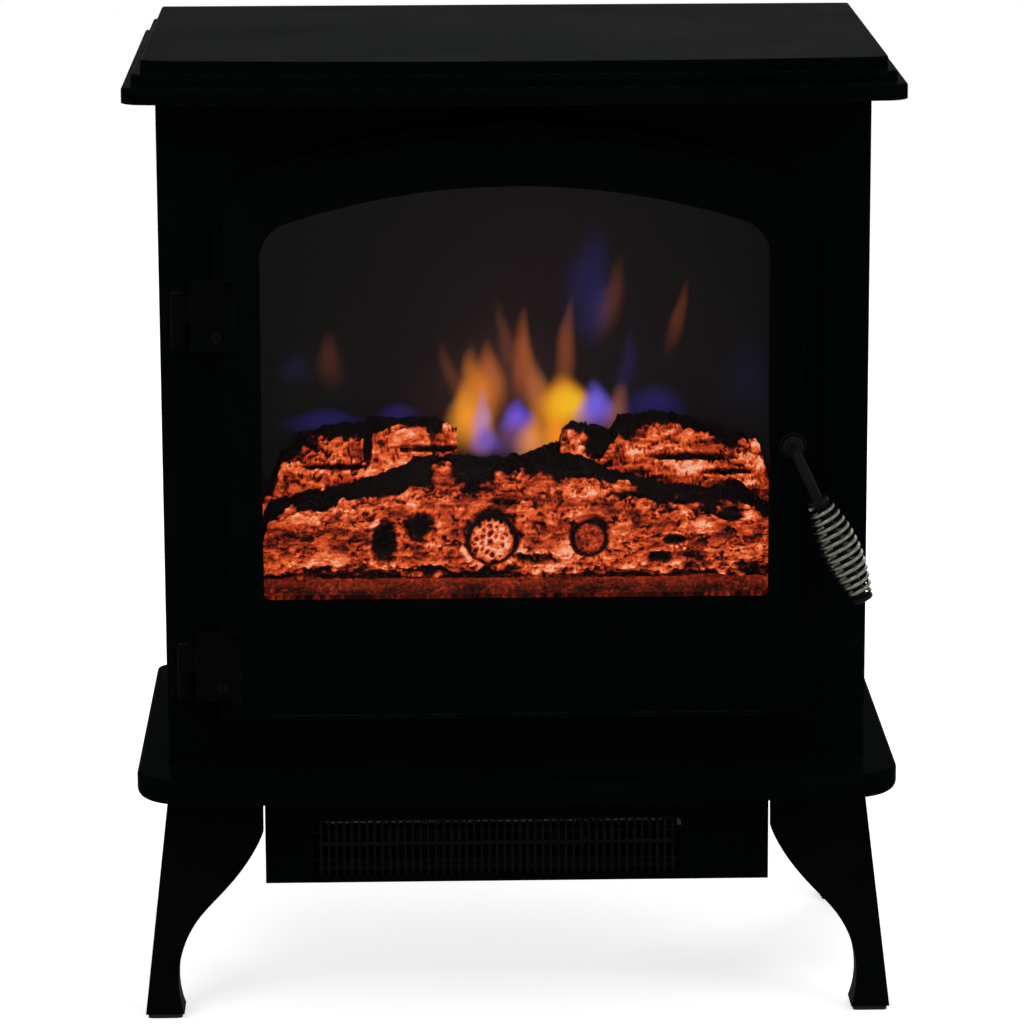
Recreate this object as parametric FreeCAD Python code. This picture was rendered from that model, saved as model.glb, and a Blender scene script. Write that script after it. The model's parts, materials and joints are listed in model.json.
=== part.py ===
import FreeCAD, Part
import math
import os
from FreeCAD import Vector

# Free-standing electric stove fireplace, millimetres, +Z up, front towards -Y.
# Origin: on the floor, under the middle of the top and base plates.

# ---- overall sizes
overall_width = 413.0
overall_depth = 260.0
overall_height = 530.0
leg_height = 128.1          # floor to the underside of the base plate

# ---- sheet and wall thicknesses
sheet = 1.2                 # casing sheet steel
plate_wall = 1.5            # pressed top and base plates
frame_thick = 4.0           # cast front frame
liner = 1.0                 # firebox lining sheet
gap = 0.3                   # general gap between neighbouring pieces
running = 0.05              # radial clearance of a turning fit

# ---- top plate, three stepped layers, and base plate
plate_bow = 10.0            # how far the front edges bulge in the middle
top_step = 4.8              # each layer stands in by this much
top_layer_heights = (8.4, 6.3, 7.0)
top_corner = 12.0
top_round = 1.8
base_thick = 14.3
base_corner = 26.0
base_rear_corner = 8.0
base_round_low = 5.0
base_round_high = 2.2

# ---- casing
body_side_inset = 16.3      # casing side to plate edge
body_front_inset = 47.0     # front frame to the middle of the plates' front edge
body_rear_inset = 16.8
flange = 12.0               # turned-in edges of the casing sheets
screw_r = 1.95
screw_head_r = 3.8
screw_head = 2.0
boss_r = 5.0

# ---- door
door_side_margin = 29.2     # frame side to door side
door_low_margin = 20.6
door_high_margin = 13.8
door_gap = 1.0              # back of the door to the front frame
door_rim = 8.0              # thickness of the outer rim
door_raise = 5.0            # the door's face stands this far in front of its rim
door_step = 6.0             # width of the rim's step
door_arch = 376.0
door_shoulder = 34.0
door_foot = 4.0
door_overlap = 4.0          # door edge over the frame's opening
window_side = 24.5          # door side to window side
window_low = 70.6           # door bottom to window bottom
window_high = 34.2          # door top to window top
window_arch = 395.0
window_shoulder = 22.0
window_foot = 3.0
glass_lap = 7.0             # glass behind the window's edge
glass_thick = 4.0
glass_pocket = 2.0
gasket_thick = 0.7
panel_side = 25.5           # door side to the sunk panel under the window
panel_low = 8.0
panel_height = 41.7
panel_depth = 3.0
panel_slope = 2.0
door_core = 6.0             # depth of the hollow behind the sunk panel

# ---- hinges
hinge_out = 18.5            # door side to hinge axis
hinge_front = 7.0           # front frame to hinge axis
hinge_low = 32.0            # door bottom to the lower hinge's centre
hinge_high = 106.5          # door top to the upper hinge's centre
knuckle_r = 4.5
knuckle_len = 14.4
pin_r = 2.0
strap_low = 15.0
strap_high = 22.0
strap_lap = 11.0            # strap over the door's edge
strap_shoulder = 12.0

# ---- latch and handle
latch_side = 12.3           # door side to spindle axis
latch_low = 156.0           # door bottom to spindle axis
spindle_r = 3.0
spindle_tail_r = 2.5
handle_tilt = 24.5          # the handle hangs this far off vertical
handle_stand = 15.0         # door face to the rod's centre line
handle_bend = 8.0
coil_start = 31.5
coil_end = 87.5
coil_turns = 12.5
coil_wire_r = 1.15
coil_end_r = 5.3            # centre line radius at both ends
coil_mid_r = 9.9
tongue_len = 24.0
tongue_half = 3.5
tongue_thick = 2.8
strike_thick = 1.5

# ---- firebox
cheek_margin = 11.5         # window side to the lining's side wall
cheek_front = 13.0          # front frame's back to the side walls
screen_back = 87.0          # front frame's back to the flame screen
screen_thick = 2.5
mask_gap = 12.0
rotor_gap = 16.0
rotor_behind = 20.0
tray_drop = 13.6            # window bottom to the log tray
bed_height = 16.8
bed_wall = 3.0
log_clear = 5.0

# ---- flame rotor and lamps
rotor_shaft_r = 2.0
rotor_fin_r = 12.5
rotor_rise = 18.0
rotor_bush_r = 5.0
motor_r = 24.0
motor_thick = 15.0
lamp_drop = 25.0
board_thick = 1.6
led_r = 2.5
led_pitch = 15.0

# ---- controls behind the door
control_back = 7.0          # front frame's back to the control panel
rocker_width = 12.0
rocker_height = 18.0
rocker_thick = 6.0
rocker_tilt = 8.0
rocker_pitch = 32.0
bezel_edge = 2.6
switch_depth = 13.0
knob_r = 13.0
knob_thick = 7.5
knob_out = 66.0
knob_shaft_r = 3.0

# ---- legs
leg_width = 51.2
leg_flare = 14.8            # the foot stands out from the top by this much
leg_wall = 5.0
leg_hollow_low = 47.0
pad_thick = 2.5
pad_inset = 1.2
bolt_r = 2.5
bolt_near = 22.0
bolt_far = 34.0
# inner edge of a leg: distance from the outer line's top, share of the height
leg_curve = ((51.2, 0.804), (43.7, 0.690), (29.6, 0.552), (13.8, 0.415), (5.7, 0.278), (3.9, 0.188), (6.7, 0.0))

# ---- heater under the base plate
heater_drop = 56.1          # underside of the base plate to the heater's underside
heater_depth = 130.0
heater_front_set = 1.0      # front frame to the heater's front
heater_clear = 0.8          # leg to heater
grille_left = 26.0
grille_right = 48.0
grille_low = 4.0
grille_height = 31.7
grille_bar = 1.5
grille_pitch = 4.2
grille_deep = 4.6
fan_r = 21.0
fan_shaft_r = 2.0
fan_blades = 20
scroll_r = 24.0
element_deep = 14.0

# ---- cable gland
gland_bore_r = 3.9
gland_neck_r = 8.0
gland_flange_r = 11.0

# ---- places worked out from the sizes above
front_y = -overall_depth / 2
rear_y = overall_depth / 2
body_half = overall_width / 2 - body_side_inset
body_front = front_y + body_front_inset
body_rear = rear_y - body_rear_inset
frame_back = body_front + frame_thick
base_top = leg_height + base_thick
base_under = base_top - plate_wall
body_top = overall_height - sum(top_layer_heights)
screw_x = body_half - sheet - flange / 2

door_half = body_half - door_side_margin
door_z0 = base_top + door_low_margin
door_z1 = body_top - door_high_margin
door_back = body_front - door_gap
rim_front = door_back - door_rim
door_front = rim_front - door_raise
window_half = door_half - window_side
window_z0 = door_z0 + window_low
window_z1 = door_z1 - window_high
glass_seat = door_back - glass_pocket
glass_front = glass_seat + gasket_thick
glass_back = glass_front + glass_thick
opening_half = door_half - door_overlap

hinge_x = -door_half - hinge_out
hinge_y = body_front - hinge_front
hinge_zs = {"lower": door_z0 + hinge_low, "upper": door_z1 - hinge_high}
latch_x = door_half - latch_side
latch_z = door_z0 + latch_low

cheek = window_half + cheek_margin
cheek_y0 = frame_back + cheek_front
screen_y = frame_back + screen_back
mask_y = screen_y + screen_thick + mask_gap
rotor_y = mask_y + liner + rotor_gap
cheek_y1 = rotor_y + rotor_behind
ceiling_z = door_z1 - 2.0
tray_z = window_z0 - tray_drop
tray_top = tray_z + sheet
bed_top = tray_top + bed_height
rotor_z = tray_top + rotor_rise
lamp_z = tray_z - lamp_drop
control_y = frame_back + control_back
control_z = (door_z0 + 5.0 + tray_z) / 2

leg_inner = body_half - leg_width
heater_half = leg_inner - heater_clear
heater_y0 = body_front + heater_front_set
heater_y1 = heater_y0 + heater_depth
heater_z0 = leg_height - heater_drop
grille_x0 = -heater_half + grille_left
grille_x1 = heater_half - grille_right
grille_z0 = heater_z0 + grille_low
grille_z1 = grille_z0 + grille_height
fan_y = heater_y0 + 62.0
fan_z = (heater_z0 + base_under) / 2 + 2.0
blower_x0 = grille_x0 + 3.0
blower_x1 = grille_x1 - 3.0
blower_y0 = heater_y0 + sheet + grille_deep + 1.5

bush_r = spindle_r + 1.6
strike_x = opening_half + 0.6
strike_screw_zs = (latch_z + 6.5, latch_z + 27.5)
tongue_y0 = frame_back + strike_thick + gap
tongue_y1 = tongue_y0 + tongue_thick
strap_screw_x = -door_half + 1.6
strap_screw_off = -8.0
gland_x = body_half - 40.0
gland_z = base_top + 28.0


# ---- small helpers
def box(x0, x1, y0, y1, z0, z1):
    return Part.makeBox(x1 - x0, y1 - y0, z1 - z0, Vector(x0, y0, z0))


def rod(radius, start, end):
    way = end - start
    return Part.makeCylinder(radius, way.Length, start, way)


def tube(outer, inner, start, end):
    return rod(outer, start, end).cut(rod(inner, start, end))


def joined(shapes):
    whole = shapes[0].multiFuse(shapes[1:]) if len(shapes) > 1 else shapes[0]
    return whole.removeSplitter()


def prism(points, way):
    loop = Part.makePolygon(points + [points[0]])
    return Part.Face(loop).extrude(way)


def mirrored_x(shape):
    return shape.mirror(Vector(0, 0, 0), Vector(1, 0, 0))


def edges_where(shape, test):
    return [edge for edge in shape.Edges if test(edge.BoundBox)]


def arched(half, low, high, arch, shoulder, foot, y0, y1):
    """An upright slab with a curved top, round shoulders and round feet."""
    centre_z = high - arch
    sx = half - shoulder
    sz = centre_z + math.sqrt((arch - shoulder) ** 2 - sx ** 2)
    reach = arch / (arch - shoulder)
    tx = sx * reach
    tz = centre_z + (sz - centre_z) * reach
    turn = math.atan2(tz - sz, tx - sx) / 2
    mx = sx + shoulder * math.cos(turn)
    mz = sz + shoulder * math.sin(turn)
    fold = foot * (1 - math.sqrt(0.5))

    def p(x, z):
        return Vector(x, y0, z)

    edges = [
        Part.LineSegment(p(-half + foot, low), p(half - foot, low)),
        Part.Arc(p(half - foot, low), p(half - fold, low + fold), p(half, low + foot)),
        Part.LineSegment(p(half, low + foot), p(half, sz)),
        Part.Arc(p(half, sz), p(mx, mz), p(tx, tz)),
        Part.Arc(p(tx, tz), p(0, high), p(-tx, tz)),
        Part.Arc(p(-tx, tz), p(-mx, mz), p(-half, sz)),
        Part.LineSegment(p(-half, sz), p(-half, low + foot)),
        Part.Arc(p(-half, low + foot), p(-half + fold, low + fold), p(-half + foot, low)),
    ]
    wire = Part.Wire([edge.toShape() for edge in edges])
    return Part.Face(wire).extrude(Vector(0, y1 - y0, 0))


def door_slab(inset, y0, y1, foot):
    return arched(door_half - inset, door_z0 + inset, door_z1 - inset, door_arch - inset,
                  door_shoulder - inset, foot, y0, y1)


def window_slab(outset, y0, y1):
    return arched(window_half + outset, window_z0 - outset, window_z1 + outset, window_arch + outset,
                  window_shoulder + outset, window_foot, y0, y1)


def bowed_slab(inset, front_inset, z0, z1, corner, rear_corner, rear_inset=0.0):
    """A flat slab with a bulging front edge and rounded corners."""
    half = overall_width / 2 - inset
    front = front_y + front_inset
    rear = rear_y - rear_inset
    side = front + plate_bow
    edges = [
        Part.LineSegment(Vector(-half, rear, z0), Vector(-half, side, z0)),
        Part.Arc(Vector(-half, side, z0), Vector(0, front, z0), Vector(half, side, z0)),
        Part.LineSegment(Vector(half, side, z0), Vector(half, rear, z0)),
        Part.LineSegment(Vector(half, rear, z0), Vector(-half, rear, z0)),
    ]
    slab = Part.Face(Part.Wire([edge.toShape() for edge in edges])).extrude(Vector(0, 0, z1 - z0))
    slab = slab.makeFillet(corner, edges_where(slab, lambda b: b.ZLength > 1 and b.XLength < 0.01 and b.YMax < 0))
    if rear_corner > 0:
        uprights = edges_where(slab, lambda b: b.ZLength > 1 and b.XLength < 0.01 and b.YMin > rear - 0.01)
        slab = slab.makeFillet(rear_corner, uprights)
    return slab


def pan_screw(seat, way, length):
    """A pan-head screw whose head sits on the point and whose shank runs along way."""
    way = Vector(way).normalize()
    shank = rod(screw_r, seat, seat + way * length)
    head = rod(screw_head_r, seat - way * screw_head, seat)
    head = head.makeFillet(1.2, [edge for edge in head.Edges if edge.Closed and
                                 (edge.CenterOfMass - (seat - way * screw_head)).Length < 0.1])
    slot = box(-0.45, 0.45, -screw_head_r, screw_head_r, -0.8, 0.1)
    slot.Placement = FreeCAD.Placement(seat - way * screw_head, FreeCAD.Rotation(Vector(0, 0, 1), way * -1))
    return joined([head, shank]).cut(slot)


# ---- screw places shared by holes and screws
side_signs = (-1, 1)
top_screw_ys = (body_front + 34.0, body_rear - 34.0)
floor_screw_ys = (body_front + 73.0, body_front + 108.0)
frame_screw_zs = (base_top + 40.0, (base_top + body_top) / 2, body_top - 40.0)
hinge_screw_x = hinge_x + 8.0
hinge_screw_offs = (-11.0, 13.0)
heater_screw_x = heater_half - sheet - flange / 2
heater_screw_ys = (heater_y0 + 20.0, heater_y1 - 20.0)


# ---- plates
def top_plate():
    """Pressed plate in three steps, with two channels that take the casing's screws."""
    plate = None
    hollows = []
    z = body_top
    for i, height in enumerate(top_layer_heights):
        inset = top_step * i
        layer = bowed_slab(inset, inset, z, z + height, top_corner, 0)
        rims = edges_where(layer, lambda b: b.ZMin > z + height - 0.01 and b.YMin < rear_y - 0.01)
        layer = layer.makeFillet(top_round, rims)
        plate = layer if plate is None else plate.fuse(layer)
        hollows.append(bowed_slab(inset + plate_wall, inset + plate_wall, body_top, z + height - plate_wall,
                                  top_corner - plate_wall, 0, plate_wall))
        z += height
    for hollow in hollows:
        plate = plate.cut(hollow)
    shelf = body_top + top_layer_heights[0]
    skin = overall_height - plate_wall
    extras = []
    for y in top_screw_ys:
        extras.append(box(-body_half + 4, body_half - 4, y - 9, y + 9, shelf, shelf + sheet))
        extras.append(box(-body_half + 4, body_half - 4, y - 9, y - 9 + sheet, shelf, skin))
        extras.append(box(-body_half + 4, body_half - 4, y + 9 - sheet, y + 9, shelf, skin))
        for sign in side_signs:
            foot = Vector(sign * screw_x, y, body_top)
            extras.append(rod(boss_r, foot, foot + Vector(0, 0, top_layer_heights[0] + sheet)))
    plate = joined([plate] + extras)
    for y in top_screw_ys:
        for sign in side_signs:
            foot = Vector(sign * screw_x, y, body_top)
            plate = plate.cut(rod(screw_r + running, foot - Vector(0, 0, 1), foot + Vector(0, 0, 8.5)))
    return plate


def base_plate():
    slab = bowed_slab(0, 0, leg_height, base_top, base_corner, base_rear_corner)
    low = edges_where(slab, lambda b: b.ZMax < leg_height + 0.01)
    slab = slab.makeFillet(base_round_low, low)
    high = edges_where(slab, lambda b: b.ZMin > base_top - 0.01)
    slab = slab.makeFillet(base_round_high, high)
    hollow = bowed_slab(plate_wall + 4.0, plate_wall + 4.0, leg_height - 1, base_under,
                        base_corner - plate_wall - 4.0, base_rear_corner - plate_wall - 4.0, plate_wall + 4.0)
    slab = slab.cut(hollow)
    holes = []
    for place in leg_bolt_places():
        holes.append(rod(bolt_r + running, place - Vector(0, 0, 1), place + Vector(0, 0, 9)))
    for place in leg_bolt_places():
        slab = slab.fuse(rod(bolt_r + 2.6, place + Vector(0, 0, plate_wall), place + Vector(0, 0, plate_wall + 4)))
    for sign in side_signs:
        for y in floor_screw_ys:
            holes.append(rod(screw_r + running, Vector(sign * screw_x, y, base_under - 1),
                             Vector(sign * screw_x, y, base_top + 1)))
        for y in heater_screw_ys:
            holes.append(rod(screw_r + running, Vector(sign * heater_screw_x, y, base_under - 1),
                             Vector(sign * heater_screw_x, y, base_top + 1)))
    holes.append(rod(6.0, Vector(0, heater_y1 - 20, base_under - 1), Vector(0, heater_y1 - 20, base_top + 1)))
    for hole in holes:
        slab = slab.cut(hole)
    return slab.removeSplitter()


# ---- legs
def leg_corner(side, end):
    """Outer corner of a leg's top, and which way is outwards."""
    y = body_front if end < 0 else body_rear - sheet
    return Vector(side * body_half, y, 0)


def leg_bolt_places():
    places = []
    for side in side_signs:
        for end in side_signs:
            corner = leg_corner(side, end)
            for across, along in ((bolt_near, bolt_far), (bolt_far, bolt_near)):
                places.append(Vector(corner.x - side * across, corner.y - end * along, base_under))
    return places


def leg_profile(top_line):
    """Curved side view of a leg: distance from the stove's middle against height."""
    top = base_under
    points = [(top_line - across, share * leg_height) for across, share in leg_curve]
    points[-1] = (points[-1][0], pad_thick)
    outer_low = top_line + leg_flare * (1 - pad_thick / leg_height)
    curve = Part.BSplineCurve()
    curve.interpolate([Vector(s, 0, z) for s, z in points])
    edges = [
        Part.LineSegment(Vector(top_line, 0, top), Vector(top_line - leg_width, 0, top)).toShape(),
        Part.LineSegment(Vector(top_line - leg_width, 0, top), Vector(points[0][0], 0, points[0][1])).toShape(),
        curve.toShape(),
        Part.LineSegment(Vector(points[-1][0], 0, pad_thick), Vector(outer_low, 0, pad_thick)).toShape(),
        Part.LineSegment(Vector(outer_low, 0, pad_thick), Vector(top_line, 0, leg_height)).toShape(),
        Part.LineSegment(Vector(top_line, 0, leg_height), Vector(top_line, 0, top)).toShape(),
    ]
    return Part.Face(Part.Wire(edges))


def leg(side, end):
    corner = leg_corner(side, end)
    reach = leg_width + leg_flare + 10
    across = leg_profile(body_half)
    across.translate(Vector(0, -reach, 0))
    across = across.extrude(Vector(0, 2 * reach, 0))
    if side < 0:
        across = mirrored_x(across)
    across.translate(Vector(0, corner.y, 0))
    along = leg_profile(abs(corner.y))
    along.translate(Vector(0, -reach, 0))
    along = along.extrude(Vector(0, 2 * reach, 0))
    along.rotate(Vector(0, 0, 0), Vector(0, 0, 1), 90 * end)
    along.translate(Vector(corner.x, 0, 0))
    solid = across.common(along)
    hollow = solid.copy()
    hollow.translate(Vector(-side * leg_wall, -end * leg_wall, 0))
    room = box(-overall_width, overall_width, -overall_depth, overall_depth, leg_hollow_low, base_under - leg_wall)
    solid = solid.cut(hollow.common(room))
    for place in leg_bolt_places():
        solid = solid.cut(rod(bolt_r + running, place - Vector(0, 0, leg_wall + 1), place + Vector(0, 0, 1)))
    return solid


def foot_pads():
    pads = []
    inner = leg_curve[-1][0]
    outer = leg_flare * (1 - pad_thick / leg_height)
    for side in side_signs:
        for end in side_signs:
            corner = leg_corner(side, end)
            xs = sorted((corner.x - side * (inner - pad_inset), corner.x + side * (outer - pad_inset)))
            ys = sorted((corner.y - end * (inner - pad_inset), corner.y + end * (outer - pad_inset)))
            pad = box(xs[0], xs[1], ys[0], ys[1], 0, pad_thick)
            pads.append(pad.makeFillet(2.5, edges_where(pad, lambda b: b.ZLength > 1)))
    return pads


def leg_bolts():
    bolts = []
    for place in leg_bolt_places():
        seat = place - Vector(0, 0, leg_wall)
        shank = rod(bolt_r, seat, seat + Vector(0, 0, leg_wall + plate_wall + 3.5))
        head = Part.makePolygon([seat + Vector(4.6 * math.cos(a), 4.6 * math.sin(a), 0) for a in
                                 [math.pi * i / 3 for i in range(7)]])
        bolts.append(shank.fuse(Part.Face(head).extrude(Vector(0, 0, -3.5))).removeSplitter())
    return bolts


# ---- casing
def front_frame():
    plate = box(-body_half, body_half, body_front, frame_back, base_top, body_top)
    plate = plate.makeFillet(2.0, edges_where(plate, lambda b: b.ZLength > 9 and b.YMax < body_front + 0.01))
    plate = plate.cut(door_slab(door_overlap, body_front - 1, frame_back + 1, 1.0))
    for sign in side_signs:
        for z in frame_screw_zs:
            plate = plate.cut(rod(screw_r + running, Vector(sign * screw_x, frame_back - 2.8, z),
                                  Vector(sign * screw_x, frame_back + 1, z)))
    for centre in hinge_zs.values():
        for off in hinge_screw_offs:
            z = centre + off
            plate = plate.cut(rod(screw_r + 0.2, Vector(hinge_screw_x, body_front - 1, z),
                                  Vector(hinge_screw_x, frame_back + 1, z)))
    for z in strike_screw_zs:
        plate = plate.cut(rod(screw_r + running, Vector(strike_x + 11, frame_back - 2.8, z),
                              Vector(strike_x + 11, frame_back + 1, z)))
    return plate


def side_panel(side):
    """Right-hand panel, or its mirror image, with turned-in edges all round."""
    inner = body_half - sheet
    edge = inner - flange
    back = body_rear - sheet
    panel = joined([
        box(inner, body_half, frame_back, back, base_top, body_top),
        box(edge, inner, frame_back, frame_back + sheet, base_top, body_top),
        box(edge, inner, back - sheet, back, base_top, body_top),
        box(edge, inner, frame_back, back, base_top, base_top + sheet),
        box(edge, inner, frame_back, back, body_top - sheet, body_top),
    ])
    clear = screw_r + 0.2
    for y in top_screw_ys:
        panel = panel.cut(rod(clear, Vector(screw_x, y, body_top - 3), Vector(screw_x, y, body_top + 1)))
    for y in floor_screw_ys:
        panel = panel.cut(rod(clear, Vector(screw_x, y, base_top - 1), Vector(screw_x, y, base_top + 3)))
    for z in frame_screw_zs:
        panel = panel.cut(rod(clear, Vector(screw_x, frame_back - 1, z), Vector(screw_x, frame_back + 3, z)))
        panel = panel.cut(rod(clear, Vector(screw_x, back - 3, z), Vector(screw_x, back + 1, z)))
    return panel if side > 0 else mirrored_x(panel)


def rear_panel():
    panel = box(-body_half, body_half, body_rear - sheet, body_rear, base_top, body_top)
    slots = []
    for row_z in (body_top - 45, body_top - 57, base_top + 52, base_top + 64):
        for i in range(9):
            x = (i - 4) * 30.0
            slots.append(box(x - 11, x + 11, body_rear - 3, body_rear + 1, row_z, row_z + 4))
    slots.append(rod(gland_neck_r + 0.1, Vector(gland_x, body_rear - 3, gland_z), Vector(gland_x, body_rear + 1, gland_z)))
    for sign in side_signs:
        for z in frame_screw_zs:
            slots.append(rod(screw_r + running, Vector(sign * screw_x, body_rear - 3, z),
                             Vector(sign * screw_x, body_rear + 1, z)))
    return panel.cut(Part.makeCompound(slots))


def casing_screws():
    screws = []
    for sign in side_signs:
        for y in top_screw_ys:
            screws.append(pan_screw(Vector(sign * screw_x, y, body_top - sheet), (0, 0, 1), 8.0))
        for y in floor_screw_ys:
            screws.append(pan_screw(Vector(sign * screw_x, y, base_top + sheet), (0, 0, -1), 8.0))
        for y in heater_screw_ys:
            screws.append(pan_screw(Vector(sign * heater_screw_x, y, base_under - sheet), (0, 0, 1), 8.0))
        for z in frame_screw_zs:
            screws.append(pan_screw(Vector(sign * screw_x, frame_back + sheet, z), (0, -1, 0), sheet + 2.6))
            screws.append(pan_screw(Vector(sign * screw_x, body_rear, z), (0, -1, 0), 6.0))
    for centre in hinge_zs.values():
        for off in hinge_screw_offs:
            screws.append(pan_screw(Vector(hinge_screw_x, frame_back, centre + off), (0, -1, 0), frame_thick + 1.6))
    for z in strike_screw_zs:
        screws.append(pan_screw(Vector(strike_x + 11, frame_back + strike_thick, z), (0, -1, 0), strike_thick + 2.6))
    return screws


# ---- hinges
def hinge_bracket(centre):
    low = centre - knuckle_len - 0.2
    high = centre - 0.2
    plate = box(hinge_x - 8.5, hinge_x + 13.5, body_front - 2.0, body_front, centre - strap_low, centre + 17)
    plate = plate.makeFillet(0.8, edges_where(plate, lambda b: b.YMax < body_front - 1.9))
    arm = box(hinge_x - knuckle_r, hinge_x + knuckle_r, hinge_y, body_front - 1, low, high)
    knuckle = rod(knuckle_r, Vector(hinge_x, hinge_y, low), Vector(hinge_x, hinge_y, high))
    bracket = joined([plate, arm, knuckle])
    bracket = bracket.cut(rod(pin_r, Vector(hinge_x, hinge_y, low - 1), Vector(hinge_x, hinge_y, high + 1)))
    for off in hinge_screw_offs:
        z = centre + off
        bracket = bracket.cut(rod(screw_r + running, Vector(hinge_screw_x, body_front - 1.7, z),
                                  Vector(hinge_screw_x, body_front + 1, z)))
    return bracket


def hinge_pins():
    pins = []
    for centre in hinge_zs.values():
        foot = Vector(hinge_x, hinge_y, centre - knuckle_len - 0.2)
        top = Vector(hinge_x, hinge_y, centre + knuckle_len + 0.5)
        head = rod(3.4, top, top + Vector(0, 0, 1.6))
        pins.append(joined([rod(pin_r, foot, top + Vector(0, 0, 1)), head.makeFillet(0.7, edges_where(
            head, lambda b: b.ZMin > top.z + 1.5))]))
    return pins


def door_strap(centre):
    low = centre - strap_low
    high = centre + strap_high
    lap = -door_half + strap_lap
    near = hinge_x + 6.0
    ear = box(near, -door_half - gap, door_front, body_front - 2.6, low, high)
    face = box(-door_half - 1, lap, door_front, door_front + 7.0, low, high)
    web = box(hinge_x, near + 1, hinge_y - knuckle_r, hinge_y + 3.5, centre + 0.2, centre + knuckle_len + 0.2)
    knuckle = rod(knuckle_r, Vector(hinge_x, hinge_y, centre + 0.2), Vector(hinge_x, hinge_y, centre + knuckle_len + 0.2))
    strap = joined([ear, face, web, knuckle])
    slope = prism([Vector(near - 9, door_front - 1, high - strap_shoulder), Vector(near - 9, door_front - 1, high + 1),
                   Vector(near - 9, door_front + 5.5, high + 1)], Vector(strap_lap + 30, 0, 0))
    strap = strap.cut(slope)
    strap = strap.cut(rod(pin_r + running, Vector(hinge_x, hinge_y, low), Vector(hinge_x, hinge_y, high)))
    hole = Vector(strap_screw_x, door_front, centre + strap_screw_off)
    strap = strap.cut(rod(screw_r + running, hole - Vector(0, 1, 0), hole + Vector(0, 9, 0)))
    return strap.cut(rod(screw_head_r + 0.3, hole - Vector(0, 1, 0), hole + Vector(0, screw_head + 0.2, 0)))


# ---- door
def door_frame():
    rim = door_slab(0, rim_front, door_back, door_foot)
    rim = rim.makeFillet(2.4, edges_where(rim, lambda b: b.YMax < rim_front + 0.01))
    face = door_slab(door_step, door_front, rim_front + 0.5, 2.0)
    face = face.makeFillet(1.6, edges_where(face, lambda b: b.YMax < door_front + 0.01))
    door = rim.fuse(face).removeSplitter()
    door = door.cut(window_slab(0, door_front - 1, door_back + 1))
    window_rim = edges_where(door, lambda b: b.YMax < door_front + 0.01 and b.XMin > -window_half - 0.1
                             and b.XMax < window_half + 0.1 and b.ZMin > window_z0 - 0.1 and b.ZMax < window_z1 + 0.1)
    door = door.makeFillet(2.0, window_rim)
    door = door.cut(window_slab(glass_lap + 0.5, glass_seat, door_back + 1))
    half = door_half - panel_side
    low = door_z0 + panel_low
    sunk = box(-half, half, door_front - 1, door_front + panel_depth, low, low + panel_height)
    sunk = sunk.makeFillet(4.0, edges_where(sunk, lambda b: b.YLength > 1))
    door = door.cut(sunk)
    lip = edges_where(door, lambda b: b.YMax < door_front + 0.01 and b.ZMin > low - 0.1
                      and b.ZMax < low + panel_height + 0.1 and b.XMin > -half - 0.1 and b.XMax < half + 0.1)
    door = door.makeChamfer(panel_slope, lip)
    door = door.cut(box(-half - 10, half + 10, door_back - door_core, door_back + 1, low - 2, low + panel_height + 4))
    lap = -door_half + strap_lap
    cuts = []
    for centre in hinge_zs.values():
        cuts.append(box(-door_half - 3, lap + 0.2, door_front - 2, door_front + 7.0,
                        centre - strap_low - 0.2, centre + strap_high + 0.2))
        hole = Vector(strap_screw_x, door_front, centre + strap_screw_off)
        cuts.append(rod(screw_r + running, hole, hole + Vector(0, 11.5, 0)))
    cuts.append(rod(bush_r + 0.03, Vector(latch_x, door_front - 1, latch_z), Vector(latch_x, door_back + 1, latch_z)))
    for place, side in clip_places():
        cuts.append(rod(screw_r + running, place - Vector(0, 4.3, 0), place + Vector(0, 1, 0)))
    for piece in cuts:
        door = door.cut(piece)
    return door


def door_glass():
    pane = window_slab(glass_lap, glass_front, glass_back)
    return pane.makeChamfer(0.4, edges_where(pane, lambda b: b.YLength < 0.01))


def glass_gasket():
    ring = window_slab(glass_lap, glass_seat, glass_front)
    return ring.cut(window_slab(1.0, glass_seat - 1, glass_front + 1))


def clip_places():
    """Screw points of the glass clips on the back of the door, and their side."""
    places = []
    for side in side_signs:
        for share in (0.13, 0.68):
            z = window_z0 + share * (window_z1 - window_z0)
            places.append((Vector(side * (window_half + glass_lap + 6.5), door_back, z), side))
    return places


def glass_clips():
    clips = []
    for place, side in clip_places():
        step = window_half + glass_lap + 1.2
        xs = sorted((side * (step - 1.2), side * (abs(place.x) + 5.0)))
        foot = box(xs[0], xs[1], door_back, door_back + 1.2, place.z - 8, place.z + 8)
        xs = sorted((side * (step - 1.2), side * step))
        riser = box(xs[0], xs[1], door_back, glass_back + 1.2, place.z - 8, place.z + 8)
        xs = sorted((side * (step - 6.5), side * step))
        finger = box(xs[0], xs[1], glass_back, glass_back + 1.2, place.z - 8, place.z + 8)
        seat = box(-step + 1.15, step - 1.15, door_back - 1, glass_back, place.z - 9, place.z + 9)
        clip = joined([foot, riser, finger]).cut(seat)
        clips.append(clip.cut(rod(screw_r + 0.15, place - Vector(0, 1, 0), place + Vector(0, 3, 0))))
    return clips


def door_screws():
    screws = [pan_screw(place + Vector(0, 1.2, 0), (0, -1, 0), 5.2) for place, side in clip_places()]
    for centre in hinge_zs.values():
        seat = Vector(strap_screw_x, door_front + screw_head + 0.2, centre + strap_screw_off)
        screws.append(pan_screw(seat, (0, 1, 0), 9.0))
    return screws


def spindle_bush():
    inner = spindle_r + running
    sleeve = tube(bush_r, inner, Vector(latch_x, door_front, latch_z), Vector(latch_x, door_back, latch_z))
    lip = tube(bush_r + 2.6, inner, Vector(latch_x, door_front - 1.2, latch_z), Vector(latch_x, door_front, latch_z))
    return joined([sleeve, lip])


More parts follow.
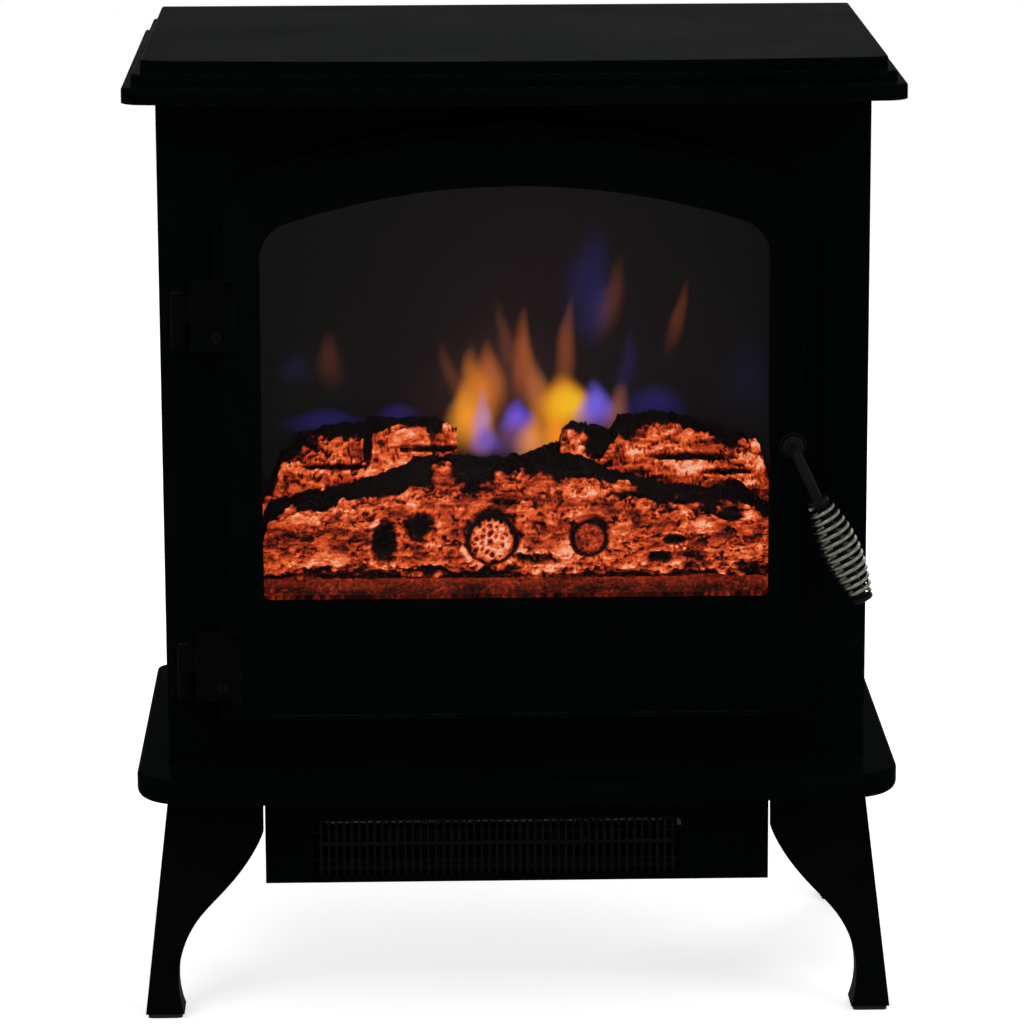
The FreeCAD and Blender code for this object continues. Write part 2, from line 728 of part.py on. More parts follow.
# ---- latch and handle
def handle_way():
    tilt = math.radians(handle_tilt)
    return Vector(math.sin(tilt), 0, -math.cos(tilt))


def handle_pivot():
    return Vector(latch_x, door_front - handle_stand, latch_z)


def latch_spindle():
    """The turning rod: a straight shaft through the door that bends down into the handle."""
    way = handle_way()
    pivot = handle_pivot()
    bend = Vector(pivot.x, pivot.y + handle_bend, pivot.z)
    centre = bend + way * handle_bend
    middle = centre + (Vector(0, -1, 0) - way) * (handle_bend * math.sqrt(0.5))
    after = pivot + way * handle_bend
    arc = Part.Arc(bend, middle, after).toShape()
    elbow = Part.Wire([arc]).makePipeShell([Part.Wire([Part.makeCircle(spindle_r, bend, Vector(0, 1, 0))])], True, False)
    shaft = rod(spindle_r, bend, Vector(latch_x, tongue_y1, latch_z))
    tail = rod(spindle_tail_r, Vector(latch_x, tongue_y1, latch_z), Vector(latch_x, tongue_y1 + 5.2, latch_z))
    stem = rod(spindle_r, after, pivot + way * (coil_end + 2.0))
    collar = rod(spindle_r + 2.4, Vector(latch_x, door_front - 3.4, latch_z), Vector(latch_x, door_front - 1.4, latch_z))
    upper = rod(coil_end_r + 0.6, pivot + way * (coil_start - 2.4), pivot + way * (coil_start - 0.2))
    lower = rod(coil_end_r + 0.6, pivot + way * (coil_end + 0.2), pivot + way * (coil_end + 2.6))
    lower = lower.makeFillet(0.9, [edge for edge in lower.Edges if edge.Closed])
    return joined([shaft, elbow, tail, stem, collar, upper, lower])


def spring_grip():
    """A barrel-shaped coil of wire round the handle's rod."""
    steps = int(coil_turns * 12)
    length = coil_end - coil_start - 2 * coil_wire_r
    points = []
    for i in range(steps + 1):
        share = i / steps
        radius = coil_end_r + (coil_mid_r - coil_end_r) * math.sin(math.pi * share) ** 0.8
        angle = 2 * math.pi * coil_turns * share
        points.append(Vector(radius * math.cos(angle), radius * math.sin(angle), coil_wire_r + length * share))
    curve = Part.BSplineCurve()
    curve.interpolate(points)
    start = Part.Wire([Part.makeCircle(coil_wire_r, points[0], curve.tangent(curve.FirstParameter)[0])])
    coil = Part.Wire([curve.toShape()]).makePipeShell([start], True, True)
    way = handle_way()
    turn = FreeCAD.Rotation(Vector(0, 0, 1), way)
    coil.Placement = FreeCAD.Placement(handle_pivot() + way * coil_start, turn)
    return coil


def latch_tongue():
    bar = box(latch_x - tongue_half, latch_x + tongue_half, tongue_y0, tongue_y1, latch_z - 7, latch_z + tongue_len)
    bar = bar.makeFillet(2.5, edges_where(bar, lambda b: b.YLength > 1))
    return bar.cut(rod(spindle_r + 0.02, Vector(latch_x, tongue_y0 - 1, latch_z), Vector(latch_x, tongue_y1 + 1, latch_z)))


def latch_nut():
    corners = [Vector(latch_x + 4.6 * math.cos(math.pi * i / 3), tongue_y1, latch_z + 4.6 * math.sin(math.pi * i / 3))
               for i in range(7)]
    nut = Part.Face(Part.makePolygon(corners)).extrude(Vector(0, 4.0, 0))
    return nut.cut(rod(spindle_tail_r + 0.02, Vector(latch_x, tongue_y1 - 1, latch_z), Vector(latch_x, tongue_y1 + 9, latch_z)))


def latch_strike():
    plate = box(strike_x, strike_x + 16, frame_back, frame_back + strike_thick, latch_z + 2, latch_z + 32)
    for z in strike_screw_zs:
        plate = plate.cut(rod(screw_r + 0.2, Vector(strike_x + 11, frame_back - 1, z), Vector(strike_x + 11, frame_back + 4, z)))
    return plate




# ---- firebox
def cheek_panel(side):
    """Side wall of the firebox, standing on the base plate; the right one is mirrored for the left."""
    wall = joined([
        box(cheek, cheek + liner, cheek_y0, cheek_y1, base_top, ceiling_z),
        box(cheek - flange, cheek, cheek_y0, cheek_y1, base_top, base_top + liner),
    ])
    radius = rotor_bush_r if side < 0 else rotor_shaft_r + 2.0
    wall = wall.cut(rod(radius, Vector(cheek - 1, rotor_y, rotor_z), Vector(cheek + 3, rotor_y, rotor_z)))
    return wall if side > 0 else mirrored_x(wall)


def firebox_ceiling():
    return joined([
        box(-cheek - liner, cheek + liner, cheek_y0, cheek_y1, ceiling_z, ceiling_z + liner),
        box(-cheek + 1, cheek - 1, screen_y + screen_thick, screen_y + screen_thick + liner, ceiling_z - 8, ceiling_z + liner),
    ])


def log_tray():
    half = cheek - 0.2
    tray = joined([
        box(-half, half, frame_back + 2.0, screen_y + screen_thick + 4, tray_z, tray_top),
        box(-half, half, frame_back + 2.0, frame_back + 2.0 + sheet, tray_z, tray_top + 5),
        box(-half, -half + sheet, cheek_y0 + 9, screen_y, tray_z - 10, tray_top),
        box(half - sheet, half, cheek_y0 + 9, screen_y, tray_z - 10, tray_top),
        box(-half, half, screen_y + screen_thick, screen_y + screen_thick + sheet, tray_z, tray_top + 8),
    ])
    light = (2 * half - 50) / 3
    for i in range(3):
        x = -half + 15 + i * (light + 10)
        tray = tray.cut(box(x, x + light, cheek_y0 + 6, screen_y - 14, tray_z - 1, tray_top + 1))
    return tray


def ember_bed():
    """Moulded translucent bed, hollow below so that the lamps shine through it."""
    half = cheek - 0.8
    y0 = frame_back + 3.6
    y1 = screen_y - 1.0
    bed = prism([Vector(-half, y0, tray_top), Vector(-half, y1, tray_top), Vector(-half, y1, bed_top),
                 Vector(-half, y0 + 9, bed_top), Vector(-half, y0, bed_top - 4)], Vector(2 * half, 0, 0))
    w = bed_wall
    return bed.cut(box(-half + w, half - w, y0 + w, y1 - w, tray_top - 1, bed_top - 4 - w))


def log_body(x0, x1, y, half_deep, top, lean):
    """A log lying across the bed: a flattened round trunk with a flat underside."""
    rise = (top - bed_top) * 0.56
    centre_z = top - rise
    stations = []
    for share, swell in ((0.0, 0.74), (0.16, 0.96), (0.5, 1.0), (0.82, 0.93), (1.0, 0.70)):
        ring = []
        for i in range(12):
            a = 2 * math.pi * i / 12
            z = centre_z + rise * swell * math.sin(a) + lean * (share - 0.5)
            ring.append(Vector(x0 + (x1 - x0) * share, y + half_deep * swell * math.cos(a), z))
        curve = Part.BSplineCurve()
        curve.interpolate(ring, PeriodicFlag=True)
        stations.append(Part.Wire([curve.toShape()]))
    trunk = Part.makeLoft(stations, True)
    return trunk.cut(box(x0 - 5, x1 + 5, y - 80, y + 80, bed_top - 120, bed_top))


def front_log():
    y = frame_back + 33.0
    trunk = log_body(-cheek + log_clear, cheek - log_clear, y, 22.0, bed_top + 70, 2.0)
    knots = []
    for x, z, radius in ((-9.0, 30.0, 13.0), (40.0, 31.0, 9.0), (-67.0, 29.0, 10.0)):
        knots.append(rod(radius, Vector(x, y - 23.5, bed_top + z), Vector(x, y - 5, bed_top + z)))
    return joined([trunk] + knots)


def rear_log(side):
    y = screen_y - 17.0
    far = side * (cheek - log_clear)
    near = side * 24.0
    lean = 12.0 if side > 0 else -12.0
    return log_body(min(far, near), max(far, near), y, 13.0, bed_top + 84, lean)


def flame_screen():
    return box(-cheek + 0.3, cheek - 0.3, screen_y, screen_y + screen_thick, tray_top, ceiling_z)


def flame_mask():
    """Upright sheet with flame-shaped slots between the rotor and the screen."""
    low = lamp_z + 8.5
    sheet_z1 = tray_top + 150
    mask = box(-cheek + 0.3, cheek - 0.3, mask_y, mask_y + liner, low, sheet_z1)
    for i, (width, height) in enumerate(((20, 62), (26, 96), (18, 74), (28, 118), (20, 84), (24, 100), (18, 58))):
        x = (i - 3) * 36.0
        z = tray_top + 12
        left = Part.Arc(Vector(x, mask_y - 1, z), Vector(x - width / 2, mask_y - 1, z + height * 0.3),
                        Vector(x + 3, mask_y - 1, z + height))
        right = Part.Arc(Vector(x + 3, mask_y - 1, z + height), Vector(x + width / 2, mask_y - 1, z + height * 0.35),
                         Vector(x, mask_y - 1, z))
        slot = Part.Face(Part.Wire([left.toShape(), right.toShape()])).extrude(Vector(0, liner + 2, 0))
        mask = mask.cut(slot)
    return mask


def flame_rotor():
    """Turning spindle with four rows of small bent reflectors."""
    x0 = -cheek - 1.5
    x1 = cheek + liner + 8.0
    pieces = [rod(rotor_shaft_r, Vector(x0, rotor_y, rotor_z), Vector(x1, rotor_y, rotor_z))]
    count = 11
    pitch = (2 * cheek - 30) / count
    for row in range(4):
        for i in range(count):
            x = -cheek + 15 + pitch * (i + 0.25 + 0.125 * row)
            fin = box(x, x + pitch * 0.7, -0.25, 0.25, rotor_shaft_r - 0.6, rotor_fin_r)
            tip = box(x, x + pitch * 0.7, -0.25, 4.0, rotor_fin_r - 0.5, rotor_fin_r)
            blade = fin.fuse(tip)
            blade.translate(Vector(0, rotor_y, rotor_z))
            blade.rotate(Vector(0, rotor_y, rotor_z), Vector(1, 0, 0), 90 * row + 8 * i)
            pieces.append(blade)
    return joined(pieces)


def rotor_bearing():
    start = Vector(-cheek - liner - 2.0, rotor_y, rotor_z)
    bush = rod(rotor_bush_r, start, start + Vector(liner + 2.0, 0, 0))
    lip = rod(rotor_bush_r + 2.5, start, start + Vector(2.0, 0, 0))
    bush = joined([bush, lip])
    return bush.cut(rod(rotor_shaft_r + running, start - Vector(1, 0, 0), start + Vector(9, 0, 0)))


def rotor_motor():
    face = Vector(cheek + liner, rotor_y, rotor_z)
    can = rod(motor_r, face, face + Vector(motor_thick, 0, 0))
    can = can.makeFillet(2.0, [edge for edge in can.Edges if edge.Closed and edge.BoundBox.XMin > face.x + motor_thick - 0.1])
    ears = box(face.x, face.x + 1.5, rotor_y - motor_r - 6, rotor_y + motor_r - 6, rotor_z - 6, rotor_z + 6)
    motor = joined([can, ears])
    return motor.cut(rod(rotor_shaft_r + running, face - Vector(1, 0, 0), face + Vector(9.0, 0, 0)))


def lamp_bracket():
    half = cheek - 0.2
    y0 = cheek_y0 + 36.0
    return joined([
        box(-half, half, y0, cheek_y1 - 4, lamp_z, lamp_z + sheet),
        box(-half, -half + sheet, y0, cheek_y1 - 4, lamp_z, lamp_z + 8),
        box(half - sheet, half, y0, cheek_y1 - 4, lamp_z, lamp_z + 8),
    ])


def lamp_board(y):
    """Circuit board with a row of lamps, lying on the bracket."""
    z = lamp_z + sheet
    half = cheek - 22.0
    pieces = [box(-half, half, y - 9, y + 9, z, z + board_thick)]
    count = int((2 * half - 20) / led_pitch) + 1
    for i in range(count):
        x = (i - (count - 1) / 2) * led_pitch
        base = Vector(x, y, z + board_thick)
        lamp = rod(led_r, base, base + Vector(0, 0, 1.6))
        pieces.append(lamp)
        pieces.append(Part.makeSphere(led_r, base + Vector(0, 0, 1.6)).common(
            box(x - 5, x + 5, y - 5, y + 5, z + board_thick + 1.6, z + 12)))
    return joined(pieces)


# ---- controls behind the door
def rocker_xs():
    return {"flame_rocker": -74.0, "low_heat_rocker": -74.0 + rocker_pitch, "high_heat_rocker": -74.0 + 2 * rocker_pitch}


def control_panel():
    half = cheek - 0.2
    low = base_top + liner + 0.2
    high = tray_z - 0.3
    panel = joined([
        box(-half, half, control_y, control_y + sheet, low, high),
        box(-half, -half + sheet, control_y, cheek_y0 + 8, low, high),
        box(half - sheet, half, control_y, cheek_y0 + 8, low, high),
    ])
    for x in rocker_xs().values():
        hw = rocker_width / 2 + 1.5
        hh = rocker_height / 2 + 2.5
        panel = panel.cut(box(x - hw, x + hw, control_y - 1, control_y + 3, control_z - hh, control_z + hh))
    return panel.cut(rod(knob_shaft_r + 0.6, Vector(knob_out, control_y - 1, control_z), Vector(knob_out, control_y + 3, control_z)))


def rocker_pivot_y():
    return control_y - 1.0


def switch_bodies():
    bodies = []
    for x in rocker_xs().values():
        hw = rocker_width / 2 + 0.4
        hh = rocker_height / 2 + 1.2
        bezel = box(x - hw - bezel_edge, x + hw + bezel_edge, control_y - 3.0, control_y,
                    control_z - hh - bezel_edge, control_z + hh + bezel_edge)
        bezel = bezel.makeFillet(1.0, edges_where(bezel, lambda b: b.YMax < control_y - 2.9))
        case = box(x - hw - 1, x + hw + 1, control_y - 0.5, control_y + switch_depth, control_z - hh - 1, control_z + hh + 1)
        body = joined([bezel, case])
        body = body.cut(box(x - hw, x + hw, control_y - 4, control_y + switch_depth - 6, control_z - hh, control_z + hh))
        pin = Vector(x - hw - 0.8, rocker_pivot_y(), control_z)
        bodies.append(body.cut(rod(1.0 + running, pin, pin + Vector(2 * hw + 1.6, 0, 0))))
    return bodies


def rocker(x):
    """Switch cap, tipped so that its upper half stands out."""
    y = rocker_pivot_y()
    hw = rocker_width / 2
    hh = rocker_height / 2
    deep = rocker_thick / 2
    cap = prism([Vector(x - hw, y + deep, control_z - hh), Vector(x - hw, y - deep, control_z - hh),
                 Vector(x - hw, y - deep + 1.0, control_z), Vector(x - hw, y - deep, control_z + hh),
                 Vector(x - hw, y + deep, control_z + hh)], Vector(2 * hw, 0, 0))
    cap = cap.makeFillet(0.7, edges_where(cap, lambda b: b.YMax < y - deep + 1.1 and b.XLength < 0.01))
    cap.rotate(Vector(x, y, control_z), Vector(1, 0, 0), rocker_tilt)
    pin = rod(1.0, Vector(x - hw - 1.1, y, control_z), Vector(x + hw + 1.1, y, control_z))
    return joined([cap, pin])


def thermostat():
    y = control_y + sheet
    body = box(knob_out - 13, knob_out + 13, y, y + 17, control_z - 12, control_z + 12)
    body = body.makeFillet(1.5, edges_where(body, lambda b: b.YMin > y + 16.9))
    return body.cut(rod(knob_shaft_r + running, Vector(knob_out, y - 1, control_z), Vector(knob_out, y + 11, control_z)))


def thermostat_knob():
    back = control_y - 1.4
    front = back - knob_thick
    centre = Vector(knob_out, front, control_z)
    knob = rod(knob_r, centre, Vector(knob_out, back, control_z))
    knob = knob.makeFillet(1.6, [edge for edge in knob.Edges if edge.Closed and edge.BoundBox.YMax < front + 0.1])
    for i in range(18):
        angle = 2 * math.pi * i / 18
        dip = centre + Vector((knob_r + 0.7) * math.cos(angle), 0, (knob_r + 0.7) * math.sin(angle))
        knob = knob.cut(rod(1.5, dip - Vector(0, 1, 0), dip + Vector(0, knob_thick + 2, 0)))
    knob = knob.cut(box(knob_out - 0.6, knob_out + 0.6, front - 1, front + 0.7, control_z + 3, control_z + knob_r - 2))
    shaft = rod(knob_shaft_r, Vector(knob_out, back - 1, control_z), Vector(knob_out, control_y + sheet + 9, control_z))
    return joined([knob, shaft])


# ---- heater
def heater_housing():
    outer = box(-heater_half, heater_half, heater_y0, heater_y1, heater_z0, base_under)
    outer = outer.makeFillet(1.2, edges_where(outer, lambda b: b.YMax < heater_y0 + 0.01 and b.ZMin < base_under - 1))
    inner = box(-heater_half + sheet, heater_half - sheet, heater_y0 + sheet, heater_y1 - sheet,
                heater_z0 + sheet, base_under + 1)
    shell = outer.cut(inner)
    for sign in side_signs:
        xs = sorted((sign * (heater_half - sheet / 2), sign * (heater_half - sheet - flange)))
        shell = shell.fuse(box(xs[0], xs[1], heater_y0 + 1, heater_y1 - 1, base_under - sheet, base_under))
    mouth = box(grille_x0, grille_x1, heater_y0 - 1, heater_y0 + sheet + 1, grille_z0, grille_z1)
    mouth = mouth.makeFillet(4.0, edges_where(mouth, lambda b: b.YLength > 1))
    cuts = [mouth]
    for row in range(4):
        z = heater_z0 + 12 + row * 9.0
        for i in range(7):
            x = (i - 3) * 32.0
            cuts.append(box(x - 13, x + 13, heater_y1 - 3, heater_y1 + 1, z, z + 4))
    for sign in side_signs:
        for y in heater_screw_ys:
            cuts.append(rod(screw_r + 0.2, Vector(sign * heater_screw_x, y, base_under - 3),
                            Vector(sign * heater_screw_x, y, base_under + 1)))
    for piece in cuts:
        shell = shell.cut(piece)
    return shell.removeSplitter()


def outlet_grille():
    back = heater_y0 + sheet
    edge = 3.0
    frame = box(grille_x0 - edge, grille_x1 + edge, back, back + 1.6, grille_z0 - edge + 0.8, grille_z1 + edge)
    frame = frame.cut(box(grille_x0, grille_x1, back - 1, back + 3, grille_z0, grille_z1))
    count = int((grille_x1 - grille_x0 - 2) / grille_pitch)
    first = (grille_x0 + grille_x1) / 2 - (count - 1) * grille_pitch / 2
    bars = []
    for i in range(count):
        x = first + i * grille_pitch
        bars.append(box(x - grille_bar / 2, x + grille_bar / 2, back, back + grille_deep, grille_z0 - 1, grille_z1 + 1))
    middle = (grille_z0 + grille_z1) / 2
    rails = [box(grille_x0 - 1, grille_x1 + 1, back + 2.6, back + grille_deep, z - 0.8, z + 0.8)
             for z in (middle - 8, middle + 8)]
    return joined([frame] + bars + rails)


def blower_housing():
    """Two end plates and the curved wall that guides the air round the fan."""
    y1 = fan_y + scroll_r + 2
    z0 = heater_z0 + sheet + 1
    plates = [
        box(blower_x0 - liner, blower_x0, blower_y0, y1, z0, base_under),
        box(blower_x1, blower_x1 + liner, blower_y0, y1, z0, base_under),
    ]
    wall = tube(scroll_r + liner, scroll_r, Vector(blower_x0 - 0.5, fan_y, fan_z), Vector(blower_x1 + 0.5, fan_y, fan_z))
    wall = wall.cut(box(blower_x0 - 2, blower_x1 + 2, fan_y - 60, fan_y, fan_z - 60, fan_z + 60))
    wall = wall.cut(box(blower_x0 - 2, blower_x1 + 2, fan_y + 12, fan_y + 60, fan_z - 12, fan_z + 12))
    roof_z = fan_z + scroll_r
    element_y = blower_y0 + element_deep
    roof = box(blower_x0 - 0.5, blower_x1 + 0.5, element_y + 2, fan_y + 0.1, roof_z, roof_z + liner)
    floor_z = fan_z - scroll_r
    floor = box(blower_x0 - 0.5, blower_x1 + 0.5, element_y + 2, fan_y + 0.1, floor_z - liner, floor_z)
    housing = joined(plates + [wall, roof, floor])
    housing = housing.cut(rod(fan_shaft_r + running, Vector(blower_x0 - 3, fan_y, fan_z), Vector(blower_x0 + 1, fan_y, fan_z)))
    return housing.cut(rod(fan_shaft_r + 2, Vector(blower_x1 - 1, fan_y, fan_z), Vector(blower_x1 + 3, fan_y, fan_z)))


def fan_wheel():
    """Long drum of curved blades between end discs, on its shaft."""
    x0 = blower_x0 + 1.5
    x1 = blower_x1 - 1.5
    discs = []
    for share in (0.0, 0.5, 1.0):
        x = x0 + (x1 - 1.2 - x0) * share
        discs.append(rod(fan_r, Vector(x, fan_y, fan_z), Vector(x + 1.2, fan_y, fan_z)))
    blades = []
    for i in range(fan_blades):
        blade = box(x0, x1, -0.4, 0.4, fan_r - 6.0, fan_r - 0.5)
        blade.rotate(Vector(0, 0, fan_r - 3), Vector(1, 0, 0), 28)
        blade.translate(Vector(0, fan_y, fan_z))
        blade.rotate(Vector(0, fan_y, fan_z), Vector(1, 0, 0), 360.0 * i / fan_blades)
        blades.append(blade)
    shaft = rod(fan_shaft_r, Vector(blower_x0 - liner - 1.5, fan_y, fan_z), Vector(blower_x1 + liner + 14, fan_y, fan_z))
    return joined(discs + blades + [shaft])


def fan_motor():
    x = blower_x1 + liner
    stack = box(x, x + 20, fan_y - 20, fan_y + 20, fan_z - 18, fan_z + 14)
    coil = box(x + 1, x + 19, fan_y - 12, fan_y + 12, fan_z + 14, fan_z + 24)
    cap = rod(11, Vector(x + 20, fan_y, fan_z), Vector(x + 26, fan_y, fan_z))
    motor = joined([stack, coil.makeFillet(3, edges_where(coil, lambda b: b.XLength > 10)), cap])
    return motor.cut(rod(fan_shaft_r + running, Vector(x - 1, fan_y, fan_z), Vector(x + 15, fan_y, fan_z)))


def heating_element():
    """Finned block held between the blower's end plates."""
    x0 = blower_x0
    x1 = blower_x1
    y1 = blower_y0 + element_deep
    low = grille_z0 + 1
    high = grille_z1 - 1
    rails = [box(x0, x1, blower_y0 + 1, y1, z, z + 2.2) for z in (low, (low + high) / 2 - 1.1, high - 2.2)]
    count = int((x1 - x0 - 8) / 4.0)
    fins = []
    for i in range(count):
        x = (x0 + x1) / 2 + (i - (count - 1) / 2) * 4.0
        fins.append(box(x - 0.25, x + 0.25, blower_y0 + 1.4, y1 - 0.4, low + 1, high - 1))
    return joined(rails + fins)


def thermal_cutout():
    base = Vector((blower_x0 + blower_x1) / 2 + 40, blower_y0 + element_deep / 2 + 0.5, grille_z1 - 1)
    disc = rod(6.0, base, base + Vector(0, 0, 3.5))
    cap = rod(4.0, base + Vector(0, 0, 3.5), base + Vector(0, 0, 6.0))
    tabs = box(base.x - 8, base.x + 8, base.y - 1.6, base.y + 1.6, base.z, base.z + 0.8)
    return joined([disc, cap, tabs])


def cable_gland():
    wall = Vector(gland_x, body_rear, gland_z)
    back = Vector(0, 1, 0)
    pieces = [rod(gland_flange_r, wall, wall + back * 4), rod(gland_neck_r, wall - back * 9, wall + back * 9)]
    pieces.append(rod(gland_flange_r, wall - back * (sheet + 5), wall - back * sheet))
    gland = joined(pieces)
    gland = gland.makeFillet(1.2, [edge for edge in gland.Edges if edge.Closed and edge.BoundBox.YMin > body_rear + 3.9
                                   and edge.BoundBox.XLength > 10])
    return gland.cut(rod(gland_bore_r, wall - back * 12, wall + back * 12))


# ---- write every piece to its own file
nodes = {
    "top_plate": top_plate(),
    "base_plate": base_plate(),
    "front_frame": front_frame(),
    "left_side_panel": side_panel(-1),
    "right_side_panel": side_panel(1),
    "rear_panel": rear_panel(),
    "front_left_leg": leg(-1, -1),
    "front_right_leg": leg(1, -1),
    "rear_left_leg": leg(-1, 1),
    "rear_right_leg": leg(1, 1),
    "foot_pads": foot_pads(),
    "leg_bolts": leg_bolts(),
    "casing_screws": casing_screws(),
    "upper_hinge_bracket": hinge_bracket(hinge_zs["upper"]),
    "lower_hinge_bracket": hinge_bracket(hinge_zs["lower"]),
    "hinge_pins": hinge_pins(),
    "latch_strike": latch_strike(),
    "left_cheek": cheek_panel(-1),
    "right_cheek": cheek_panel(1),
    "firebox_ceiling": firebox_ceiling(),
    "log_tray": log_tray(),
    "ember_bed": ember_bed(),
    "front_log": front_log(),
    "left_log": rear_log(-1),
    "right_log": rear_log(1),
    "flame_screen": flame_screen(),
    "flame_mask": flame_mask(),
    "lamp_bracket": lamp_bracket(),
    "flame_lamp_board": lamp_board(rotor_y),
    "ember_lamp_board": lamp_board(cheek_y0 + 47.0),
    "rotor_motor": rotor_motor(),
    "rotor_bearing": rotor_bearing(),
    "control_panel": control_panel(),
    "switch_bodies": switch_bodies(),
    "thermostat": thermostat(),
    "cable_gland": cable_gland(),
    "heater_housing": heater_housing(),
    "outlet_grille": outlet_grille(),
    "heating_element": heating_element(),
    "blower_housing": blower_housing(),
    "fan_motor": fan_motor(),
    "thermal_cutout": thermal_cutout(),
    "door_frame": door_frame(),
    "door_glass": door_glass(),
    "glass_gasket": glass_gasket(),
    "glass_clips": glass_clips(),
    "door_screws": door_screws(),
    "upper_door_strap": door_strap(hinge_zs["upper"]),
    "lower_door_strap": door_strap(hinge_zs["lower"]),
    "spindle_bush": spindle_bush(),
    "latch_spindle": latch_spindle(),
    "spring_grip": spring_grip(),
    "latch_tongue": latch_tongue(),
    "latch_nut": latch_nut(),
    "flame_rotor": flame_rotor(),
    "fan_wheel": fan_wheel(),
    "thermostat_knob": thermostat_knob(),
}
for name, x in rocker_xs().items():
    nodes[name] = rocker(x)

os.makedirs("parts", exist_ok=True)
for name, shape in nodes.items():
    if isinstance(shape, list):
        shape = Part.makeCompound(shape)
    shape.exportStep(f"parts/{name}.step")
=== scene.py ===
import json
import math

import bpy
from mathutils import Matrix, Vector, noise


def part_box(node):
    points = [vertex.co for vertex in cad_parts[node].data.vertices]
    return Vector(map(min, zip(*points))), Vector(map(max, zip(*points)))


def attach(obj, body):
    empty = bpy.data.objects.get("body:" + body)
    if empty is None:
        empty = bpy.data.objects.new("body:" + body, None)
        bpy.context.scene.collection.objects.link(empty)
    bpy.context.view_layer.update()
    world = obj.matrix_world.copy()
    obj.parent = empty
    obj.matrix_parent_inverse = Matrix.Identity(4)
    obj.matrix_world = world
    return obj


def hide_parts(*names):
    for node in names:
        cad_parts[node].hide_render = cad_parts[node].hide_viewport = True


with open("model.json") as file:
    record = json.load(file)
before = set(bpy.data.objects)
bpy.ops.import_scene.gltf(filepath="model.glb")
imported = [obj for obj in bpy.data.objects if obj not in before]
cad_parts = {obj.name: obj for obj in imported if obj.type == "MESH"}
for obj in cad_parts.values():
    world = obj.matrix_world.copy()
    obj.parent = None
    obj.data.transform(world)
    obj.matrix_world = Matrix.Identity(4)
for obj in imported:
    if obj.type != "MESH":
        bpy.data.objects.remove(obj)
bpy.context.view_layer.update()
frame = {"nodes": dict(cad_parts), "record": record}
nodes = frame["nodes"]
scene = bpy.context.scene
scene.view_settings.view_transform = "Standard"
mm = 0.001
print("frame loaded")

# Camera, lamps and background
cameraSet = {"place": (-0.05333, -2.60524, 0.85553), "pitch": 12.8402, "yaw": 1.7768, "roll": -0.1122,
             "focus": 4786.32, "aside": 50.0, "flameGlow": 1024, "sensor": 36.0, "far": 60.0}
lampSet = {"key": {"place": (-1.2, -1.7, 2.4), "size": (1.4, 1.0), "power": 22.0},
           "fill": {"place": (1.8, -1.2, 1.6), "size": (1.2, 1.2), "power": 12.0},
           "rear": {"place": (0.6, 1.8, 1.5), "size": (1.6, 0.5), "power": 16.0}}
lampAim = Vector((0, 0, 0.28))
backSet = {"lit": 0.45, "floorColour": (0.8, 0.8, 0.8, 1), "floorGlow": 0.62, "floorSize": 40.0,
           "floorLow": -0.0002, "floorRough": 0.9}


def addCamera():
    pitch, yaw, roll = (math.radians(cameraSet[key]) for key in ("pitch", "yaw", "roll"))
    ahead = Vector((math.sin(yaw) * math.cos(pitch), math.cos(yaw) * math.cos(pitch), -math.sin(pitch)))
    level = Vector((math.cos(yaw), -math.sin(yaw), 0))
    upright = level.cross(ahead)
    right = level * math.cos(roll) + upright * math.sin(roll)
    up = upright * math.cos(roll) - level * math.sin(roll)
    data = bpy.data.cameras.new("camera")
    data.sensor_width = cameraSet["sensor"]
    data.lens = cameraSet["focus"] / cameraSet["flameGlow"] * cameraSet["sensor"]
    data.shift_x = -cameraSet["aside"] / cameraSet["flameGlow"]
    data.clip_end = cameraSet["far"]
    camera = bpy.data.objects.new("camera", data)
    bpy.context.collection.objects.link(camera)
    axes = Matrix((right, up, -ahead)).transposed().to_4x4()
    camera.matrix_world = Matrix.Translation(cameraSet["place"]) @ axes
    scene.camera = camera


def addLamps():
    for name, look in lampSet.items():
        data = bpy.data.lights.new(name, "AREA")
        data.shape = "RECTANGLE"
        data.size, data.size_y = look["size"]
        data.energy = look["power"]
        lamp = bpy.data.objects.new(name, data)
        bpy.context.collection.objects.link(lamp)
        lamp.location = look["place"]
        lamp.rotation_euler = (lampAim - lamp.location).to_track_quat("-Z", "Y").to_euler()


def seenRays(tree):
    path = tree.nodes.new("ShaderNodeLightPath")
    first = tree.nodes.new("ShaderNodeMath")
    second = tree.nodes.new("ShaderNodeMath")
    first.operation = second.operation = "MAXIMUM"
    tree.links.new(path.outputs["Is Camera Ray"], first.inputs[0])
    tree.links.new(path.outputs["Is Glossy Ray"], first.inputs[1])
    tree.links.new(first.outputs[0], second.inputs[0])
    tree.links.new(path.outputs["Is Transmission Ray"], second.inputs[1])
    return second.outputs[0]


